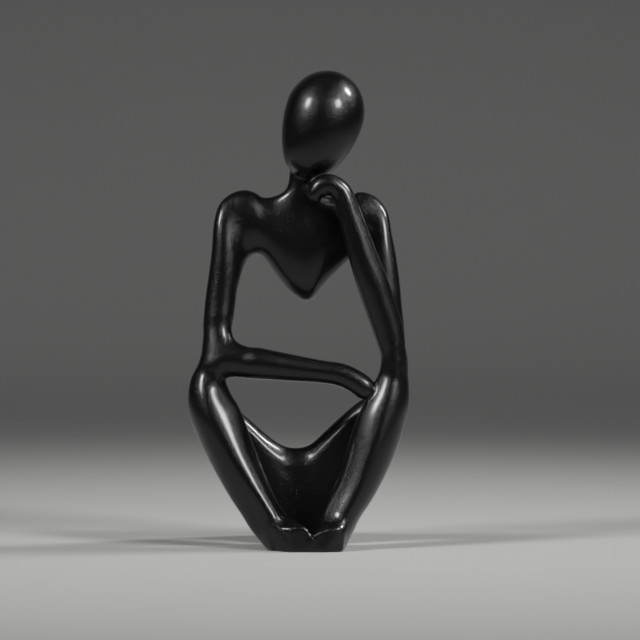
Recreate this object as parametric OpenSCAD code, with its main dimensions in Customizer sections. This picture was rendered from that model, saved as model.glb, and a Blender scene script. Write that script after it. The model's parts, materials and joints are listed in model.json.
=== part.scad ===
// Seated abstract figure, leaning its chin on one hand
// The figure faces -Y. Its own right side is at -X, and it stands on Z = 0.

/* [Head] */
// Width of the head, across its leaning axis
head_w = 21.6; // [19:0.2:25]
// Depth of the head, front to back
head_d = 23; // [20:0.5:25]
// Length of the head along its axis, from the joint at the neck to the crown
head_l = 28.7; // [26:0.1:33]
// Lean of the head to the figure's left
head_lean = 18; // [12:1:22]

/* [Neck and chest] */
// Height of the shoulder line above the ground
shoulder_h = 95.5; // [93:0.5:99]
// Height of the joint under the head, above the shoulder line
neck_l = 6.6; // [5.5:0.1:8]
// Width of the neck at its narrowest
neck_w = 6.4; // [5.6:0.1:7.6]
// Width of the chest between the two shoulder joints
chest_w = 28.5; // [27:0.1:30]
// Height of the heart-shaped chest, from the shoulder line to its tip
chest_h = 28.7; // [26:0.1:31]
// Depth of the chest
chest_d = 12.4; // [11:0.1:13.4]
// Height of an arm's root at the shoulder joint
root_h = 17.2; // [16:0.1:18]

/* [Arms] */
// Width of an arm half way down, seen from the front
arm_w = 8.6; // [7.8:0.1:9.4]
// Depth of an arm half way down
arm_d = 9; // [8:0.1:9.6]
// Width of a wrist
wrist_w = 6.3; // [5.6:0.1:7]
// Gap between the drooping right hand and the hollow for it in the left knee
hand_gap = 0.2; // [0.1:0.05:0.4]
// Height of the bend of the right elbow above the ground
elbow_h = 52.2; // [51:0.1:53]
// Depth of the left wrist below the shoulder line
wrist_drop = 0.8; // [0.2:0.1:1.4]

/* [Legs] */
// Width of the figure over both knees
knee_span = 60.4; // [58:0.2:63]
// Height of the right knee's top, which the right elbow rests on
right_knee_h = 47.6; // [47:0.1:48.2]
// Height of the left knee's top, which the left elbow rests on
left_knee_h = 51; // [50:0.1:52]
// Width of a leg below the knee
leg_w = 13.8; // [13:0.1:14.4]
// Width of a leg at the ankle
ankle_w = 10.6; // [10:0.1:11.2]
// Depth of a shin
shin_d = 11; // [10:0.1:12]
// Depth of a thigh where it is thickest
thigh_d = 18; // [17:0.1:19]

/* [Lap and seat] */
// Height of the rim of the lap at its lowest point
lap_h = 26.2; // [24:0.1:28]
// Thickness of the lap at its rim
lap_t = 5.6; // [5:0.1:6.4]
// Depth of the whole figure, from the toes to the back of the seat
body_d = 50; // [48:0.5:52]

/* [Feet] */
// Width of a foot across the toes
foot_w = 9.1; // [8.6:0.1:9.8]
// Length of a foot
foot_l = 17; // [16:0.1:18]
// Height of the toes
toe_h = 6.4; // [5.6:0.1:7.2]

/* [Dowel pins] */
// Diameter of the steel pins inside the joints
pin_d = 2; // [1.6:0.1:2.4]
// Length of the pins at the neck, shoulders, right elbow, knees and hips
pin_l = 8; // [6:0.5:9]
// Length of the pins where two thin pieces meet: the left elbow and the ankles
short_pin_l = 5; // [4:0.5:6]
// Gap all round a pin in its socket
pin_fit = 0.05; // [0.02:0.01:0.1]

/* [Hidden] */

lacquer = [0.05, 0.05, 0.055];
steel = [0.75, 0.76, 0.78];

// Points round each section, and sections between two rows of a table
sides = 24;
steps = 2;
pin_sides = 32;

// Joints, each the middle of the section where two pieces meet
half_span = knee_span / 2;
front_y = -body_d / 2;
back_y = body_d / 2;
chest_x = 0.06 * half_span;
chest_y = 0.04 * back_y;
root_z = shoulder_h + 0.08 * root_h - root_h / 2;
right_shoulder = [chest_x - chest_w / 2, chest_y, root_z];
left_shoulder = [chest_x + chest_w / 2, chest_y, root_z];
right_elbow = [-0.735 * half_span, 0.4 * front_y, elbow_h];
left_elbow = [0.857 * half_span, 0.4 * front_y, left_knee_h];
left_wrist = [
    left_elbow.x - 0.443 * half_span, left_elbow.y + 0.06 * back_y, shoulder_h - wrist_drop
];
right_hand = [0.65 * half_span, 0.48 * front_y, 0.875 * right_knee_h];
neck_x = 0.05 * neck_w;
neck_top = [0.08 * head_w, 0, shoulder_h + neck_l];
head_axis = [sin(head_lean), 0, cos(head_lean)];
crown = neck_top + head_l * head_axis + [0, -0.12 * head_d, 0];
right_knee = [-0.803 * half_span, 0.4 * front_y, right_knee_h];
left_knee = [left_elbow.x, 0.4 * front_y, left_knee_h];
right_ankle = [-0.3 * half_span, 0.56 * front_y, 1.3 * toe_h];
left_ankle = [0.355 * half_span, 0.56 * front_y, 1.3 * toe_h];
right_seat = [-0.355 * half_span, 0.48 * back_y, 0.19 * lap_h];
left_seat = [0.39 * half_span, 0.48 * back_y, 0.19 * lap_h];

// Turns of the sections at the joints, in the front view
right_elbow_turn = 219;
seat_slope = 19;
right_ankle_turn = 209;
left_ankle_turn = 151;

// Planes between pieces: a point, and the normal that points out of the piece named first
right_knee_top = [right_knee, [sin(seat_slope), 0, cos(seat_slope)]];
left_knee_top = [left_knee, [0, 0, 1]];
fold_lean = 8.5;
arm_fold = [left_elbow, [0, cos(fold_lean), -sin(fold_lean)]];
leg_lean = 10;
leg_fold = [[0, 0.32 * front_y, right_knee_h], [0, cos(leg_lean), sin(leg_lean)]];
hip_lean = atan(0.6368 * half_span / right_knee_h);
hip_spread = atan(0.57 * half_span / body_d);
crotch = [0.03 * half_span, 0.26 * front_y, -0.11 * lap_h];
right_hip = [crotch, hip_normal(1)];
left_hip = [crotch, hip_normal(-1)];
right_ankle_cut = [right_ankle, travel(right_ankle_turn)];
left_ankle_cut = [left_ankle, travel(left_ankle_turn)];
between_feet = [[0.108 * half_span, 0, 0], [1, 0, 0]];
under_chin = [neck_top, -head_axis];
hand_place = [0.66 * half_span, 0.42 * front_y, 0.9 * right_knee_h];
hand_rest = [[hand_place, unit([0.75, 0.66, -0.45])], [hand_place, unit([0.75, 0.66, 0.45])]];
hand_notch = [for (plane = hand_rest) [plane[0] + hand_gap * plane[1], -plane[1]]];

function unit(v) = v / norm(v);
function hip_normal(side) =
    [side * cos(hip_lean) * cos(hip_spread), cos(hip_lean) * sin(hip_spread), sin(hip_lean)];

// The direction in which a limb runs where its section has this turn
function travel(turn) = [-sin(turn), 0, cos(turn)];

// The same plane seen from the piece on its other side
function beyond(plane) = [plane[0], -plane[1]];

// Where a plane lies along X, above a place on the ground
function plane_x(plane, y, z) =
    let (o = plane[0], n = plane[1]) o.x - ((y - o.y) * n.y + (z - o.z) * n.z) / n.x;

// A value on the smooth curve through a list, at place s from 0 to the last index
function smooth(list, s) =
    let (
        last = len(list) - 1,
        i = min(floor(s), last - 1),
        t = s - i,
        a = list[max(i - 1, 0)],
        b = list[i],
        c = list[i + 1],
        d = list[min(i + 2, last)]
    )
    b + (c - a) * t / 2 + (2 * a - 5 * b + 4 * c - d) * t * t / 2
        + (3 * b - a - 3 * c + d) * t * t * t / 2;

function refine(list) = [for (k = [0 : steps * (len(list) - 1)]) smooth(list, k / steps)];

// Rows of a limb between two joints: place, half width, turn and half depth.
// Shares: along X, forward of the line between the joints, along Z, two widths, turn, depth
function limb(from, to, width_a, width_b, depth, shares) = [
    for (s = shares) [
        from.x + s[0] * (to.x - from.x),
        from.y + s[2] * (to.y - from.y) - s[1] * depth,
        from.z + s[2] * (to.z - from.z),
        s[3] * width_a + s[4] * width_b,
        s[5],
        s[6] * depth
    ]
];

// An oval section of a row: its long half lies in the front view at the row's turn
function section(row) =
    [for (k = [0 : sides - 1]) let (a = 360 * k / sides) [
        row[0] + row[3] * cos(a) * cos(row[4]),
        row[1] + row[5] * sin(a),
        row[2] + row[3] * cos(a) * sin(row[4])
    ]];

// A section that ends a limb on a plane, drawn out to it along the limb
function ending(row, plane) =
    let (along = travel(row[4]))
    [for (p = section(row)) p + along * ((plane[0] - p) * plane[1]) / (along * plane[1])];

// How much of the way from a middle to a point lies behind a plane
function reach(c, p, plane) =
    let (out = (p - c) * plane[1], room = (plane[0] - c) * plane[1])
    out <= room ? 1 : max(room, 0) / max(out, 0.001);

// A section held behind planes and out of a notch, drawn in towards the middle of its row
function held(row, ring, planes, notch = []) =
    let (c = [row[0], row[1], row[2]])
    [for (p = ring)
        let (
            shares = [for (plane = planes) reach(c, p, plane)],
            clear = notch == [] ? 1 : max([for (plane = notch) reach(c, p, plane)])
        )
        c + (p - c) * min(concat([1, clear], shares))];

// Sections of a limb: the first and the last lie on planes where these are given
function limb_rings(rows, planes, first = undef, final = undef, notch = []) =
    let (fine = refine(rows), last = len(fine) - 1)
    [for (k = [0 : last])
        let (
            row = fine[k],
            plane = k == 0 ? first : k == last ? final : undef,
            ring = is_undef(plane) ? section(row) : ending(row, plane)
        )
        held(row, ring, planes, notch)];

// A closed solid through sections that have the same number of points
module skin(rings) {
    n = len(rings[0]);
    last = len(rings) - 1;
    points = [for (ring = rings) each ring];
    walls = [
        for (i = [0 : last - 1], k = [0 : n - 1])
            let (a = i * n + k, b = i * n + (k + 1) % n)
            each [[a, a + n, b + n], [a, b + n, b]]
    ];
    ends = [[for (k = [0 : n - 1]) k], [for (k = [n - 1 : -1 : 0]) last * n + k]];
    polyhedron(points = points, faces = concat(walls, ends), convexity = 4);
}

// A pin, or its socket with a gap all round, in the middle of a joint
module pin_at(place, along, length, gap = 0) {
    translate(place)
        rotate([0, acos(along.z), atan2(along.y, along.x)])
            cylinder(h = length + 2 * gap, d = pin_d + 2 * gap, center = true, $fn = pin_sides);
}

// Dowel pins: their places and directions
neck_pin_place = [neck_x, 0, neck_top.z + (neck_top.x - neck_x) * tan(head_lean)];
right_elbow_pin_place = right_elbow + [0, 0.16 * arm_d, 0];
left_elbow_pin_place = left_elbow + [-0.1 * arm_w, tan(fold_lean) * 0.65 * arm_d, 0.65 * arm_d];
right_knee_pin_place = right_knee
    + 0.2 * arm_w * [cos(seat_slope), 0, -sin(seat_slope)] - [0, 0.18 * arm_d, 0];
left_knee_pin_place = left_knee - [0, 0.22 * arm_d, 0];
hip_pin_y = 0.32 * back_y;
hip_pin_z = 0.75 * lap_h;

module neck_pin_shape(gap) {
    pin_at(neck_pin_place, head_axis, pin_l, gap);
}

module shoulder_pin_shape(place, gap) {
    pin_at(place, [1, 0, 0], pin_l, gap);
}

module right_elbow_pin_shape(gap) {
    pin_at(right_elbow_pin_place, travel(right_elbow_turn), pin_l, gap);
}

module left_elbow_pin_shape(gap) {
    pin_at(left_elbow_pin_place, arm_fold[1], short_pin_l, gap);
}

module right_knee_pin_shape(gap) {
    pin_at(right_knee_pin_place, right_knee_top[1], pin_l, gap);
}

module left_knee_pin_shape(gap) {
    pin_at(left_knee_pin_place, left_knee_top[1], pin_l, gap);
}

module hip_pin_shape(hip, gap) {
    place = [plane_x(hip, hip_pin_y, hip_pin_z), hip_pin_y, hip_pin_z];
    pin_at(place, hip[1], pin_l, gap);
}

module ankle_pin_shape(ankle_cut, gap) {
    pin_at(ankle_cut[0], ankle_cut[1], short_pin_l, gap);
}

// Head: an egg that leans to the figure's left and a little forward
head_shares = [
    [0, 0.06, 0, 0.22, 0, 0, 0.26],
    [0.05, 0.08, 0.06, 0.3, 0, 0, 0.32],
    [0.17, 0.08, 0.18, 0.385, 0, 0, 0.4],
    [0.34, 0.06, 0.34, 0.46, 0, 0, 0.46],
    [0.52, 0.04, 0.52, 0.5, 0, 0, 0.5],
    [0.68, 0.02, 0.68, 0.495, 0, 0, 0.49],
    [0.82, 0.01, 0.82, 0.42, 0, 0, 0.42],
    [0.92, 0, 0.92, 0.31, 0, 0, 0.31],
    [0.975, 0, 0.975, 0.18, 0, 0, 0.18],
    [1, 0, 1, 0.05, 0, 0, 0.05]
];

module head() {
    rows = [for (row = limb(neck_top, crown, head_w, 0, head_d, head_shares))
        [row[0], row[1], row[2], row[3], -head_lean, row[5]]];
    color(lacquer)
    difference() {
        skin(limb_rings(rows, []));
        neck_pin_shape(pin_fit);
    }
}

// Chest: sections across X. Shares: along, top and bottom below the shoulder line, depth
chest_shares = [
    [0.08, 0.005, 0.565, 0.45],
    [0.16, 0, 0.66, 0.47],
    [0.235, 0, 0.77, 0.48],
    [0.35, 0, 0.91, 0.5],
    [0.48, 0, 1, 0.5],
    [0.56, 0, 0.98, 0.5],
    [0.64, 0, 0.885, 0.5],
    [0.725, 0, 0.79, 0.49],
    [0.825, 0, 0.69, 0.48],
    [0.92, 0.005, 0.6, 0.46]
];
root_d = 0.6 * arm_d;
chest_turn = 270;
touch_x = 0.25 * half_span;

function chest_rows() = concat(
    [[right_shoulder.x, chest_y, root_z, root_h / 2, chest_turn, root_d]],
    [for (s = chest_shares) [
        right_shoulder.x + s[0] * chest_w,
        chest_y,
        shoulder_h - (s[1] + s[2]) / 2 * chest_h,
        (s[2] - s[1]) / 2 * chest_h,
        chest_turn,
        s[3] * chest_d
    ]],
    [[left_shoulder.x, chest_y, root_z, root_h / 2, chest_turn, root_d]]
);

// Neck: shares above the shoulder line, half width, turn and half depth
neck_shares = [
    [-0.9, 0.9, 0, 0.3],
    [-0.2, 1, 0, 0.44],
    [0.04, 0.84, 0, 0.48],
    [0.3, 0.62, 0, 0.48],
    [0.56, 0.52, 0, 0.48],
    [0.8, 0.485, -4, 0.49],
    [1, 0.49, -9, 0.5]
];

function neck_rows() = [for (s = neck_shares)
    [neck_x, 0, shoulder_h + s[0] * neck_l, s[1] * neck_w, s[2], s[3] * neck_w]];

module torso() {
    color(lacquer)
    difference() {
        union() {
            skin([for (row = refine(chest_rows()))
                held(row, section(row), row[0] > touch_x ? [beyond(arm_fold)] : [])]);
            skin(limb_rings(neck_rows(), [], final = beyond(under_chin)));
        }
        neck_pin_shape(pin_fit);
        shoulder_pin_shape(right_shoulder, pin_fit);
        shoulder_pin_shape(left_shoulder, pin_fit);
    }
}

// Right upper arm: from the shoulder joint round and down to the mitre at the elbow
right_upper_arm_shares = [
    [0, 0, 0, 0.5, 0, 90, 0.6],
    [0.2, 0, 0, 0.54, 0, 97, 0.59],
    [0.43, 0, 0.03, 0.55, 0, 104, 0.58],
    [0.62, 0, 0.085, 0.43, 0.2, 111, 0.56],
    [0.72, 0, 0.17, 0.26, 0.4, 118, 0.53],
    [0.79, 0, 0.315, 0.1, 0.465, 131, 0.5],
    [0.875, 0, 0.465, 0.02, 0.48, 150, 0.47],
    [0.96, 0, 0.655, 0, 0.49, 180, 0.46],
    [1.01, 0, 0.83, 0, 0.51, 191, 0.47],
    [1, 0, 1, 0, 0.68, 219, 0.49]
];

module right_upper_arm() {
    rows = limb(right_shoulder, right_elbow, root_h, arm_w, arm_d, right_upper_arm_shares);
    color(lacquer)
    difference() {
        skin(limb_rings(rows, [beyond(right_knee_top)]));
        shoulder_pin_shape(right_shoulder, pin_fit);
        right_elbow_pin_shape(pin_fit);
    }
}

// Right forearm: from the mitre across the lap to the hand that droops over the left knee
right_forearm_shares = [
    [0, 0, 0, 0.68, 0, 219, 0.49],
    [0.065, 0, 0.085, 0.68, 0, 246, 0.49],
    [0.135, 0, 0.12, 0.56, 0, 264, 0.48],
    [0.28, 0, 0.2, 0.505, 0, 262, 0.46],
    [0.47, 0, 0.3, 0.22, 0.3, 262, 0.42],
    [0.67, 0, 0.4, 0, 0.51, 262, 0.38],
    [0.8, 0, 0.48, 0, 0.515, 258, 0.37],
    [0.89, 0, 0.64, 0, 0.52, 246, 0.36],
    [0.962, 0, 0.84, 0, 0.5, 235, 0.32],
    [1, 0, 1, 0, 0.28, 228, 0.2]
];

module right_forearm() {
    rows = limb(right_elbow, right_hand, arm_w, wrist_w, arm_d, right_forearm_shares);
    color(lacquer)
    difference() {
        skin(limb_rings(rows, concat([beyond(right_knee_top)], hand_rest)));
        right_elbow_pin_shape(pin_fit);
        right_knee_pin_shape(pin_fit);
    }
}

// Left upper arm: from the shoulder joint down behind the forearm to the knee
left_upper_arm_shares = [
    [0, 0, 0, 0.5, 0, 270, 0.6],
    [0.16, 0, 0, 0.49, 0, 260, 0.58],
    [0.36, 0, 0.04, 0.48, 0, 252, 0.56],
    [0.49, 0, 0.12, 0.36, 0.21, 244, 0.53],
    [0.58, 0, 0.235, 0.18, 0.395, 235, 0.5],
    [0.7, -0.02, 0.39, 0.06, 0.445, 212, 0.47],
    [0.81, -0.06, 0.58, 0, 0.475, 187, 0.45],
    [0.92, -0.12, 0.79, 0, 0.45, 186, 0.44],
    [1, -0.18, 1, 0, 0.39, 180, 0.42]
];

module left_upper_arm() {
    rows = limb(left_shoulder, left_elbow, root_h, arm_w, arm_d, left_upper_arm_shares);
    color(lacquer)
    difference() {
        skin(limb_rings(rows, [beyond(arm_fold)], final = left_knee_top));
        shoulder_pin_shape(left_shoulder, pin_fit);
        left_elbow_pin_shape(pin_fit);
    }
}

// Left forearm: from the knee up in front of the chest, with the hand curled under the chin
left_forearm_shares = [
    [0, 0.14, 0, 0.39, 0, 0, 0.46],
    [0.045, 0.14, 0.09, 0.45, 0, 8, 0.46],
    [0.13, 0.14, 0.2, 0.5, 0, 15, 0.47],
    [0.33, 0.13, 0.38, 0.51, 0, 17, 0.48],
    [0.45, 0.12, 0.49, 0.51, 0, 18, 0.48],
    [0.61, 0.1, 0.63, 0.47, 0, 19, 0.46],
    [0.73, 0.08, 0.745, 0.3, 0.19, 19, 0.43],
    [0.895, 0.06, 0.895, 0, 0.54, 20, 0.4],
    [1, 0.06, 1, 0, 0.48, 26, 0.39],
    [1.09, 0.06, 1.055, 0, 0.47, 52, 0.4],
    [1.28, 0.06, 1.095, 0, 0.47, 88, 0.42],
    [1.48, 0.06, 1.085, 0, 0.46, 118, 0.42],
    [1.6, 0.06, 1.048, 0, 0.4, 148, 0.4],
    [1.635, 0.06, 1.012, 0, 0.32, 166, 0.36],
    [1.63, 0.06, 0.985, 0, 0.16, 176, 0.2]
];

module left_forearm() {
    rows = limb(left_elbow, left_wrist, arm_w, wrist_w, arm_d, left_forearm_shares);
    color(lacquer)
    difference() {
        skin(limb_rings(rows, [arm_fold, beyond(under_chin)], first = beyond(left_knee_top)));
        left_elbow_pin_shape(pin_fit);
        left_knee_pin_shape(pin_fit);
    }
}

// Shins: from the knee top that carries the elbow down to the ankle
right_shin_shares = [
    [0, 0.05, 0, 0.283, 0, 161, 0.33],
    [-0.02, 0.06, 0.07, 0.377, 0, 172, 0.42],
    [0, 0.06, 0.168, 0.442, 0, 183, 0.5],
    [0.085, 0.06, 0.27, 0.5, 0, 194, 0.52],
    [0.2, 0.05, 0.38, 0.5, 0, 202, 0.5],
    [0.435, 0.03, 0.593, 0.25, 0.27, 206, 0.47],
    [0.68, 0, 0.784, 0.1, 0.41, 207, 0.45],
    [0.88, 0, 0.92, 0, 0.5, 209, 0.44],
    [1, 0, 1, 0, 0.5, 209, 0.44]
];
left_shin_shares = [
    [0, 0.05, 0, 0.24, 0, 180, 0.33],
    [0.026, 0.06, 0.063, 0.3, 0, 177, 0.39],
    [0.066, 0.06, 0.152, 0.377, 0, 172, 0.46],
    [0.13, 0.06, 0.248, 0.45, 0, 166, 0.51],
    [0.237, 0.06, 0.363, 0.5, 0, 158, 0.51],
    [0.36, 0.05, 0.5, 0.5, 0, 154, 0.49],
    [0.526, 0.03, 0.665, 0.25, 0.27, 153, 0.47],
    [0.704, 0, 0.813, 0.1, 0.4, 152, 0.45],
    [0.895, 0, 0.93, 0, 0.5, 151, 0.44],
    [1, 0, 1, 0, 0.5, 151, 0.44]
];

module right_shin() {
    rows = limb(right_knee, right_ankle, leg_w, ankle_w, shin_d, right_shin_shares);
    color(lacquer)
    difference() {
        skin(limb_rings(rows, [leg_fold, right_hip], beyond(right_knee_top), right_ankle_cut));
        right_knee_pin_shape(pin_fit);
        ankle_pin_shape(right_ankle_cut, pin_fit);
    }
}

module left_shin() {
    rows = limb(left_knee, left_ankle, leg_w, ankle_w, shin_d, left_shin_shares);
    color(lacquer)
    difference() {
        skin(limb_rings(rows, [leg_fold, left_hip],
            beyond(left_knee_top), left_ankle_cut, hand_notch));
        left_knee_pin_shape(pin_fit);
        ankle_pin_shape(left_ankle_cut, pin_fit);
    }
}

// Thighs: from the knee top back and down to the side of the seat
right_thigh_shares = [
    [0, -0.19, 0, 0.283, 0, 161, 0.19],
    [-0.02, -0.22, 0.066, 0.377, 0, 172, 0.28],
    [0.007, -0.2, 0.155, 0.435, 0, 183, 0.345],
    [0.115, -0.21, 0.26, 0.49, 0, 194, 0.42],
    [0.25, -0.22, 0.39, 0.49, 0, 202, 0.46],
    [0.44, -0.23, 0.54, 0.25, 0.26, 206, 0.5],
    [0.63, -0.22, 0.705, 0.1, 0.36, 207, 0.52],
    [0.78, -0.17, 0.86, 0, 0.34, 207, 0.46],
    [0.9, -0.09, 0.95, 0, 0.21, 205, 0.36],
    [0.98, 0, 1, 0, 0.08, 204, 0.2]
];
left_thigh_shares = [
    [0, -0.19, 0, 0.24, 0, 180, 0.19],
    [0.025, -0.22, 0.06, 0.3, 0, 177, 0.25],
    [0.063, -0.21, 0.14, 0.377, 0, 172, 0.32],
    [0.126, -0.2, 0.23, 0.45, 0, 166, 0.38],
    [0.226, -0.21, 0.337, 0.49, 0, 158, 0.44],
    [0.346, -0.22, 0.463, 0.49, 0, 154, 0.48],
    [0.503, -0.23, 0.617, 0.25, 0.25, 153, 0.51],
    [0.66, -0.2, 0.754, 0.1, 0.34, 152, 0.5],
    [0.786, -0.15, 0.87, 0, 0.34, 153, 0.44],
    [0.887, -0.08, 0.957, 0, 0.21, 154, 0.36],
    [1, 0, 1, 0, 0.08, 156, 0.2]
];

module right_thigh() {
    rows = limb(right_knee, right_seat, leg_w, ankle_w, thigh_d, right_thigh_shares);
    color(lacquer)
    difference() {
        skin(limb_rings(rows, [beyond(leg_fold), right_hip], beyond(right_knee_top)));
        hip_pin_shape(right_hip, pin_fit);
    }
}

module left_thigh() {
    rows = limb(left_knee, left_seat, leg_w, ankle_w, thigh_d, left_thigh_shares);
    color(lacquer)
    difference() {
        skin(limb_rings(rows, [beyond(leg_fold), left_hip],
            beyond(left_knee_top), notch = hand_notch));
        hip_pin_shape(left_hip, pin_fit);
    }
}

// Lap: a saddle from hip to hip. Shares: across, height and place of the rim, reach of the seat
rim_shares = [
    [0, 1.5, 0, 0.78],
    [0.08, 1.355, 0.02, 0.85],
    [0.2, 1.155, 0.07, 0.93],
    [0.32, 1.03, 0.11, 0.98],
    [0.45, 1, 0.12, 1],
    [0.57, 1.04, 0.11, 0.98],
    [0.68, 1.18, 0.07, 0.94],
    [0.785, 1.35, 0.03, 0.88],
    [0.87, 1.49, 0.01, 0.82],
    [1, 1.66, 0, 0.76]
];

// The outline of the lap in a side view, once round from the top of the rim
function lap_outline(rim_y, rim_z, seat_y) = [
    [rim_y, rim_z],
    [rim_y - 0.42 * lap_t, rim_z - 0.32 * lap_t],
    [rim_y - 0.62 * lap_t, rim_z - 1.2 * lap_t],
    [0.12 * front_y, 0.5 * rim_z],
    [0.24 * front_y, 0.22 * lap_h],
    [0.13 * front_y, 0],
    [0.3 * seat_y, 0],
    [0.74 * seat_y, 0],
    [seat_y, 0.3 * lap_h],
    [0.84 * seat_y, 0.66 * lap_h],
    [rim_y + 0.95 * lap_t, rim_z - 1.3 * lap_t],
    [rim_y + 0.5 * lap_t, rim_z - 0.36 * lap_t]
];

function lap_ring(s) =
    let (corners = lap_outline(s[2] * back_y, s[1] * lap_h, s[3] * back_y), n = len(corners))
    [for (k = [0 : 3 * n - 1])
        let (
            i = floor(k / 3),
            near = [for (j = [0 : 3]) corners[(i + j + n - 1) % n]],
            p = smooth(near, 1 + k / 3 - i),
            z = max(p[1], 0),
            right_x = plane_x(right_hip, p[0], z),
            left_x = plane_x(left_hip, p[0], z)
        )
        [right_x + s[0] * (left_x - right_x), p[0], z]];

module lap() {
    color(lacquer)
    difference() {
        skin([for (s = refine(rim_shares)) lap_ring(s)]);
        hip_pin_shape(right_hip, pin_fit);
        hip_pin_shape(left_hip, pin_fit);
    }
}

// Feet: sections from heel to toes. Shares: along, half width, height, lean towards the shin
foot_shares = [
    [0, 0.54, 1.75, 1],
    [0.1, 0.62, 1.95, 1.1],
    [0.4, 0.62, 2, 1.1],
    [0.6, 0.58, 1.6, 0.7],
    [0.8, 0.55, 1.14, 0.22],
    [0.93, 0.54, 1, 0.08],
    [0.98, 0.5, 0.9, 0.04],
    [1, 0.43, 0.76, 0.02]
];
squareness = 0.62;
sole_cut = 0.06 * toe_h;

function squared(v) = sign(v) * pow(abs(v), squareness);

function foot_ring(s, side, width, lean, planes) =
    let (
        y = front_y + foot_l - s[0] * foot_l,
        x = between_feet[0].x + side * width / 2,
        half_w = s[1] * width,
        half_h = s[2] * toe_h / 2,
        shift = side * s[3] * lean * width,
        ring = [for (k = [0 : sides - 1]) let (a = 360 * k / sides, up = 1 + squared(sin(a)))
            [x + half_w * squared(cos(a)) + shift * up / 2, y, max(half_h * up - sole_cut, 0)]]
    )
    held([x + shift / 2, y, half_h], ring, planes);

module foot(side, width, lean, ankle_cut) {
    planes = [beyond(ankle_cut), side < 0 ? between_feet : beyond(between_feet)];
    color(lacquer)
    difference() {
        skin([for (s = refine(foot_shares)) foot_ring(s, side, width, lean, planes)]);
        ankle_pin_shape(ankle_cut, pin_fit);
    }
}

module right_foot() {
    foot(-1, foot_w, 1, right_ankle_cut);
}

module left_foot() {
    foot(1, 0.93 * foot_w, 0.45, left_ankle_cut);
}

module neck_pin() {
    color(steel) neck_pin_shape(0);
}

module shoulder_pins() {
    color(steel) {
        shoulder_pin_shape(right_shoulder, 0);
        shoulder_pin_shape(left_shoulder, 0);
    }
}

module elbow_pins() {
    color(steel) {
        right_elbow_pin_shape(0);
        left_elbow_pin_shape(0);
    }
}

module knee_pins() {
    color(steel) {
        right_knee_pin_shape(0);
        left_knee_pin_shape(0);
    }
}

module hip_pins() {
    color(steel) {
        hip_pin_shape(right_hip, 0);
        hip_pin_shape(left_hip, 0);
    }
}

module ankle_pins() {
    color(steel) {
        ankle_pin_shape(right_ankle_cut, 0);
        ankle_pin_shape(left_ankle_cut, 0);
    }
}

head();
torso();
right_upper_arm();
right_forearm();
left_upper_arm();
left_forearm();
lap();
right_thigh();
left_thigh();
right_shin();
left_shin();
right_foot();
left_foot();
neck_pin();
shoulder_pins();
elbow_pins();
knee_pins();
hip_pins();
ankle_pins();
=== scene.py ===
"""Dress the seated abstract figure in smooth black lacquer and set it in a plain studio."""

import json
import logging
import math
from dataclasses import dataclass, field
from enum import Enum
from typing import Dict, List, Optional, Sequence, Tuple, Union

import bpy
import numpy as np
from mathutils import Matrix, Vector

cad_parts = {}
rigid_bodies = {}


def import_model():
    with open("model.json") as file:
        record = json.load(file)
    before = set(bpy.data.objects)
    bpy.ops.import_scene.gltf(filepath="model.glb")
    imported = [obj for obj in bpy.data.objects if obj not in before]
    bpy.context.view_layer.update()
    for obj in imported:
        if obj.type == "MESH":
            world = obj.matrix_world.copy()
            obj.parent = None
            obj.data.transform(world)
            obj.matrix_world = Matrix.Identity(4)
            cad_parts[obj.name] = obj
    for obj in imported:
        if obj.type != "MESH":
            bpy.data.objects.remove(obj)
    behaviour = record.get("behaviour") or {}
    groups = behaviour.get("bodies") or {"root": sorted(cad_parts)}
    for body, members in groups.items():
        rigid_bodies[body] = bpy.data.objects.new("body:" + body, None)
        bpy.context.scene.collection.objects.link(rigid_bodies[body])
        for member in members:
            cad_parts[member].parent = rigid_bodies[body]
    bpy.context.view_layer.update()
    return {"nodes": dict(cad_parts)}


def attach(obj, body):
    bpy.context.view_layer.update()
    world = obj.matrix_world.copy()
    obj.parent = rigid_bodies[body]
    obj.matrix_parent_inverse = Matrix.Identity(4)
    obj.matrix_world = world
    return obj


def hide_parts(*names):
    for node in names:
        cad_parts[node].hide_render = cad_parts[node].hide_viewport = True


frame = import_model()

LOG = logging.getLogger("figure")
MM = 0.001
BODY = "root"
TINY = 1e-6  # keeps a division off zero
STEPS = 8  # rows of a smooth table for each row of its own
CORNERS = [(a, b, c) for a in (0, 1) for b in (0, 1) for c in (0, 1)]  # of a grid cell
Array = np.ndarray
Point = Tuple[float, float, float]
Box = Tuple[Point, Point]
Rows = Tuple[Tuple[float, ...], ...]


# ---------------------------------------------------------------- sizes and joints


@dataclass(frozen=True)
class Sizes:
    """The figure's own sizes in millimetres, as its source names them."""

    head_w: float = 21.6
    head_d: float = 23.0
    head_l: float = 28.7
    head_lean: float = 18.0
    shoulder_h: float = 95.5
    neck_l: float = 6.6
    neck_w: float = 6.4
    chest_w: float = 28.5
    chest_h: float = 28.7
    chest_d: float = 12.4
    root_h: float = 17.2
    arm_w: float = 8.6
    arm_d: float = 9.0
    wrist_w: float = 6.3
    elbow_h: float = 52.2
    wrist_drop: float = 0.8
    knee_span: float = 60.4
    right_knee_h: float = 47.6
    left_knee_h: float = 51.0
    leg_w: float = 13.8
    ankle_w: float = 10.6
    shin_d: float = 11.0
    thigh_d: float = 18.0
    lap_h: float = 26.2
    lap_t: float = 5.6
    body_d: float = 50.0
    foot_w: float = 9.1
    foot_l: float = 17.0
    toe_h: float = 6.4


def travel(turn: float) -> Array:
    """Return the direction in which a limb runs where its section has this turn."""
    a = math.radians(turn)
    return np.array([-math.sin(a), 0.0, math.cos(a)])


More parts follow.
